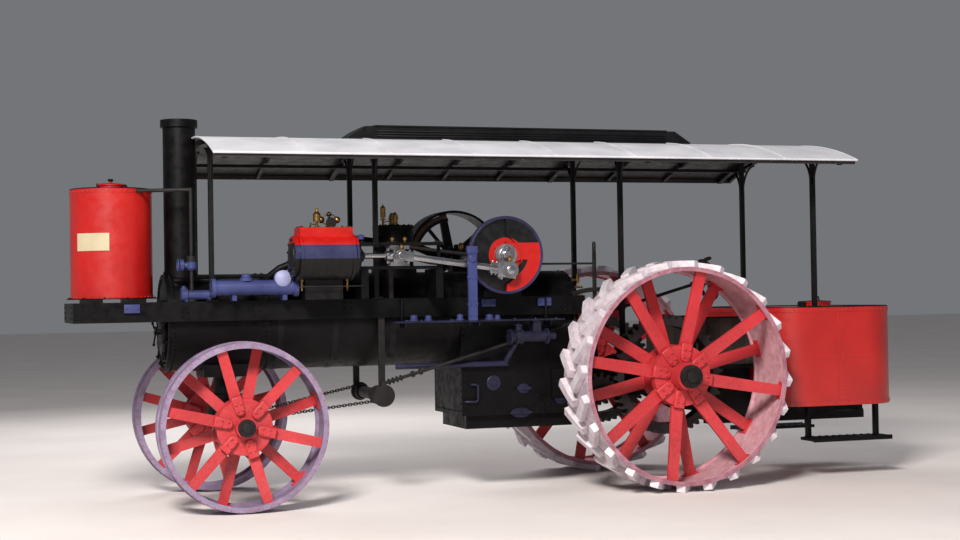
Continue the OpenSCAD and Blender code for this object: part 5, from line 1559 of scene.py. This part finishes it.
def pump_and_heater():
    parts, bolts, pipes = Form(), Form(), Form()
    x0, y, z = 1.1, PUMP_Y, PUMP_Z
    for x in (x0 + 0.085, x0 + 0.345, x0 + 0.395, x0 + 0.455):
        parts.turned((x, y, z), X_WAY, (-9, 52, -9, 76, 9, 76, 9, 52), 32)
        parts.bolts(around((x + 0.009, y, z), X_WAY, 0.064, 6), X_WAY, 0.007)
    parts.turned((x0 + 0.37, y, z + 0.05), UP, (0, 30, 20, 34, 48, 34, 52, 44, 64, 44, 68, 20, 80, 16),
        28)
    parts.make("pump_flanges", BLUE, bevel=0.001, angle=30)
    low, high = span("feedwater_heater")
    hy, hz = 0.64, 1.985
    for x, way in ((low.x + 0.02, -X_WAY), (high.x - 0.02, X_WAY)):
        for p, _ in around((x, hy, hz), X_WAY, 0.076, 8, 22.5):
            bolts.bolt(p + way * 0.02, way, 0.008)
    bolts.make("heater_bolts", DARK, angle=30)
    # pipe from the cylinder down to the heater, and the two branches on it
    top = Form()
    hx = low.x + 0.055
    bend = ((0, 0, 0.06), (0, 0, 0.15), (0.004, 0.01, 0.17), (0.004, 0.05, 0.205), (0.002, 0.07, 0.215))
    top.tube([(hx + x, hy + y, hz + z) for x, y, z in bend], 0.032, 16)
    x = low.x + 0.47
    top.turned((x, hy, hz + 0.06), UP, (0, 60, 24, 60, 32, 44, 60, 44, 68, 30, 68, 0), 28)
    top.make("heater_branches", BLUE, angle=30)
    cover = Form()
    x = low.x + 0.145
    cover.turned((x, hy - 0.06, hz + 0.08), LEFT,
        (0, 52, 30, 68, 100, 74, 130, 74, 140, 62, 156, 26, 160, 0), 40)
    cover.bolts(around((x, hy + 0.072, hz + 0.08), LEFT, 0.06, 6), LEFT, 0.008)
    cover.make("heater_valve_cover", PALE_BLUE, angle=30)
    # valve on the front tank's pipe and the strainer at its foot
    px, py = span("tank_pipe")[0].x + 0.0461, span("tank_pipe")[1].y - 0.044
    valve = Form()
    valve.turned((px, py, 2.15), UP, (0, 30, 20, 48, 70, 48, 90, 30), 24)
    valve.turned((px + 0.01, py, 2.195), X_WAY, (0, 30, 60, 26, 64, 54, 96, 54, 100, 10, 118, 10), 24)
    valve.ring((px + 0.122, py, 2.195), X_WAY, 0.052, 0.008, 28, 8)
    valve.turned((4.3, py - 0.01, 1.925), X_WAY,
        (0, 30, 10, 44, 240, 44, 250, 56, 300, 56, 310, 40, 310, 0), 28)
    valve.turned((4.58, py - 0.01, 1.925), UP, (0, 30, 66, 30, 70, 20, 82, 20, 86, 0), 20)
    for x in (4.36, 4.56):
        valve.box((x - 0.014, py - 0.044, FRAME_TOP + 0.0003), (x + 0.014, py + 0.024, 1.912), 0.003)
    valve.make("tank_valve", BLUE, angle=30)
    # stub on the pump, and a small bent pipe on the firebox
    pipes.tube([(x0 + 0.37, PUMP_Y, PUMP_Z + 0.12), (x0 + 0.37, PUMP_Y, PUMP_Z + 0.1335)], 0.014)
    x, y, z = FIRE_FRONT - 0.155, FIRE_HALF, 0.868
    hook = ((0.129, -0.006, 0), (0.125, 0.016, 0), (0.109, 0.028, 0), (0.03, 0.028, -0.002),
        (0.008, 0.028, 0.004), (0, 0.028, 0.024), (0, 0.028, 0.138), (0.008, 0.028, 0.156),
        (0.03, 0.028, 0.162), (0.06, 0.024, 0.162), (0.07, -0.006, 0.162))
    pipes.tube([(x + dx, y + dy, z + dz) for dx, dy, dz in hook], 0.013, 12)
    pipes.make("small_pipes", BLUE)


def platform_trim():
    low, high = span("platform")
    edge = Form()
    z = low.z
    for side in (1, -1):
        edge.side_box(side, (low.x, high.x), (0.674, 0.68), (z - 0.045, z - 0.0005), 0.002)
        edge.rod((low.x, side * 0.672, high.z + 0.004), (low.x + 0.62, side * 0.672, high.z + 0.004),
            0.01)
        xs = spread(low.x + 0.04, low.x + 0.58, 6)
        edge.rows(Form.rivet, xs, (side * 0.68,), (1.23, 1.58), LEFT * side, 0.008)
    edge.make("platform_edges", BLACK, bevel=0.001)
    # back of the coal bunker, between the tank and the platform
    back = Form()
    back.box((low.x + 0.006, -0.655, 1.201), (low.x + 0.02, 0.655, 1.56), 0.002)
    back.make("bunker_back", BLACK, bevel=0.001)


def steering_pieces():
    chain = Form()
    for s in (-1, 1):
        start = ROLL + Vector((0.02, s * CHAIN_Y, -s * 0.066))
        end = Vector((FRONT_X - 0.118, s * CHAIN_Y, FRONT_Z + 0.004))
        links = 46
        d = end - start
        way = d.normalized()
        flat = way.cross(UP).normalized()
        upright = way.cross(flat)
        for i in range(links):
            centre = start + d * ((i + 0.5) / links)
            chain_link(chain, centre, way, flat if i % 2 else upright, d.length / links * 0.78)
        # turns round the roll
        for k in range(4):
            chain.ring(ROLL + LEFT * s * (CHAIN_Y + 0.014 * (k - 1.5)), LEFT, 0.066, 0.0085, 40, 8,
                flat=0.006)
    obj = chain.make("steering_chain_links", DARK, None)
    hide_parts("steering_chains")
    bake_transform(obj)
    trim = Form()
    for s in (-1, 1):
        at = Vector((FRONT_X - 0.098, s * CHAIN_Y, FRONT_Z + 0.014))
        trim.turned(at, UP, (-34, 30, 6, 30, 6, 16, 16, 16), 20)
    trim.band((FRONT_X, 0, 0.905), UP, 0.1695, 0.03, 0.006, 64)
    for s in (-1, 1):
        xs, ys = (FRONT_X - 0.035, FRONT_X + 0.035), (s * 0.5, s * 0.62)
        trim.rows(Form.bolt, xs, ys, (FRONT_Z + 0.055,), UP, 0.013)
    trim.make("front_axle_trim", BLACK, "steering_axle", bevel=0.001, angle=30)
    # worm and its housing at the roll, collars of the long shaft, grips of the hand wheel
    parts = Form()
    y = 0.56
    parts.turned(ROLL + LEFT * (y - 0.024), LEFT, (0, 98, 10, 104, 40, 104, 50, 98), 40)
    wheel_at = Vector((-0.6, y, 2.0))
    shaft = (Vector((ROLL.x, y, 1.075)) - wheel_at).normalized()
    for t in (0.1, 0.16, 3.1, 3.18):
        parts.turned(wheel_at + shaft * t, shaft, (-14, 16, -14, 30, 14, 30, 14, 16), 24)
    for t in (3.3, 3.34, 3.38, 3.42):
        parts.ring(wheel_at + shaft * t, shaft, 0.022, 0.009, 24, 8)
    parts.make("steering_collars", DARK, bevel=0.001, angle=30)
    grip = Form()
    grip.ring(wheel_at, shaft, 0.2015, 0.0165, 96, 14)
    grip.turned(wheel_at - shaft * 0.012, -shaft, (0, 40, 14, 38, 22, 24, 40, 20, 44, 12, 44, 0), 28)
    u = shaft.cross(LEFT).normalized()
    knob = wheel_at + u * 0.2 - shaft * 0.01
    grip.turned(knob, -shaft, (0, 8, 20, 10, 30, 18, 80, 20, 100, 12, 100, 0), 20)
    grip.make("steering_wheel_rim", TRIM, bevel=0.0008, angle=30)


def chain_link(form, centre, way, side, half_len):
    """A link along way, with its eye open towards side."""
    half_w = 0.012
    pts = []
    for i in range(12):
        a = 2 * math.pi * i / 12
        c, s = math.cos(a), math.sin(a)
        along = math.copysign(half_len - half_w, c) * min(1, abs(c) * 4) + c * half_w
        pts.append(centre + way * along + side * s * half_w)
    form.tube(pts, 0.0048, 6, closed=True)


def lever_pieces():
    grips, quad = Form(), Form()
    for i in range(3):
        at = Vector((0.5 - 0.06 * i, 0.02 * i - 0.56, DECK_TOP))
        top = at + Vector((0.06, 0, 0.82))
        d = (top - at).normalized()
        grips.turned(top - d * 0.14, d, (0, 13, 10, 17, 60, 19, 130, 16, 150, 8, 150, 0), 20)
        grips.rod(top - d * 0.17 + X_WAY * 0.03, top - d * 0.04 + X_WAY * 0.046, 0.005, 8)
        grips.rod(top - d * 0.17 + X_WAY * 0.012, top - d * 0.17 + X_WAY * 0.034, 0.005, 8)
    quad.band((0.44, -0.54, 1.2), LEFT, 0.42, 0.07, 0.02, 24, turn_of(90) - 24, turn_of(90) + 24)
    for x in (0.27, 0.61):
        quad.rod((x, -0.54, DECK_TOP), (x, -0.54, 1.575), 0.012)
    # reversing lever with its notched quadrant at the end of the reach rod
    foot = Vector((0.56, 0.44, DECK_TOP))
    grips.box(foot + Vector((-0.02, -0.007, 0)), foot + Vector((0.02, 0.007, 1.09)), 0.003)
    grips.turned(foot + UP * 1.085, UP, (0, 12, 10, 18, 90, 19, 110, 10, 110, 0), 20)
    grips.make("lever_grips", DARK, bevel=0.001, angle=30)
    # its rear post stands clear of the fire door's handle when the door is wide open
    quad.band((0.56, 0.466, 1.2), LEFT, 0.7, 0.014, 0.045, 32, turn_of(70), turn_of(116))
    for x in (0.262, 0.785):
        quad.rod((x, 0.466, DECK_TOP), (x, 0.466, 1.875), 0.012)
    quad.make("lever_quadrants", DARK, bevel=0.001)


def drawbar_trim():
    parts, treads = Form(), Form()
    x = span("drawbar")[0].x + 0.06
    z = 0.56
    parts.band((x, 0, z + 0.046), UP, 0.0252, 0.012, 0.03, 48)
    xs = [x + dx for dx in (0.3, 0.42, 1.2, 1.32)]
    parts.rows(Form.bolt, xs, (-0.035, 0.035), (z + 0.04,), UP, 0.012)
    parts.make("drawbar_plates", DARK, bevel=0.001, angle=30)
    sx = span("rear_tank")[0].x + 0.1
    for side in (1, -1):
        for x in spread(sx + 0.05, sx + 0.85, 11):
            for y in (0.675, 0.76, 0.845):
                treads.side_box(side, (x, x + 0.012), (y - 0.028, y + 0.028), (STEP_TOP, 0.406), 0.001)
        treads.side_box(side, (sx, sx + 0.9), (0.896, 0.906), (0.362, 0.408), 0.002)
    treads.make("step_treads", BLACK)


roof_pieces()
ridge_vent()
front_tank_pieces()
rear_tank_pieces()
frame_rivets()
ledge_fittings()
pump_and_heater()
platform_trim()
steering_pieces()
lever_pieces()
drawbar_trim()


# Camera, floor and light

EYE = P(6.6475, 15.195, 1.8699)
yaw, pitch, roll = 0.3208, 0.0165, -0.0161
view = Vector((-math.sin(yaw) * math.cos(pitch), -math.cos(yaw) * math.cos(pitch), math.sin(pitch)))
right = view.cross(UP).normalized()
up = right.cross(view)
cam_right = right * math.cos(roll) + up * math.sin(roll)
cam_up = -right * math.sin(roll) + up * math.cos(roll)
cam_data = bpy.data.cameras.new("camera")
cam_data.sensor_width = 36.0
cam_data.lens = 60.68
cam_data.clip_end = 400.0
camera = bpy.data.objects.new("camera", cam_data)
turn = Matrix((cam_right, cam_up, -view)).transposed().to_4x4()
camera.matrix_world = Matrix.Translation(EYE) @ turn
bpy.context.scene.collection.objects.link(camera)
bpy.context.scene.camera = camera

floor_mesh = bpy.data.meshes.new("floor")
floor_mesh.from_pydata([(-90, -90, 0), (90, -90, 0), (90, 90, 0), (-90, 90, 0)], [], [(0, 1, 2, 3)])
floor = bpy.data.objects.new("floor", floor_mesh)
floor_mat = Nodes("floor_pale")
floor_mat.done(floor_mat.ramp(floor_mat.noise(0.6, 5.0), 0.3, 0.7, (0.78, 0.72, 0.7), (0.86, 0.8, 0.78)),
    0.9)
floor_mesh.materials.append(floor_mat.mat)
bpy.context.scene.collection.objects.link(floor)
floor.location.z = -0.001

bpy.context.scene.view_settings.view_transform = "Standard"
world = bpy.data.worlds.new("studio")
bpy.context.scene.world = world
world.use_nodes = True
background = world.node_tree.nodes["Background"]
background.inputs["Color"].default_value = (0.86, 0.89, 0.94, 1.0)
background.inputs["Strength"].default_value = 0.2


def lamp(name, at, target, size, power, color=(1.0, 1.0, 1.0)):
    data = bpy.data.lights.new(name, "AREA")
    data.shape = "RECTANGLE"
    data.size, data.size_y = size
    data.energy = power
    data.color = color
    obj = bpy.data.objects.new(name, data)
    obj.location = at
    obj.rotation_euler = (Vector(target) - Vector(at)).to_track_quat("-Z", "Y").to_euler()
    bpy.context.scene.collection.objects.link(obj)
    return obj


lamp("key", (8.0, 13.5, 11.5), (-0.3, 0, 1.0), (4, 4), 4300, (1.0, 0.96, 0.91))
lamp("fill", (-9.0, 11.0, 3.0), (-0.5, 0, 1.5), (8, 5), 180, (0.86, 0.9, 1.0)).visible_glossy = False
lamp("back", (1.0, -10.0, 8.0), (0, 0, 1.5), (8, 4), 700).visible_glossy = False
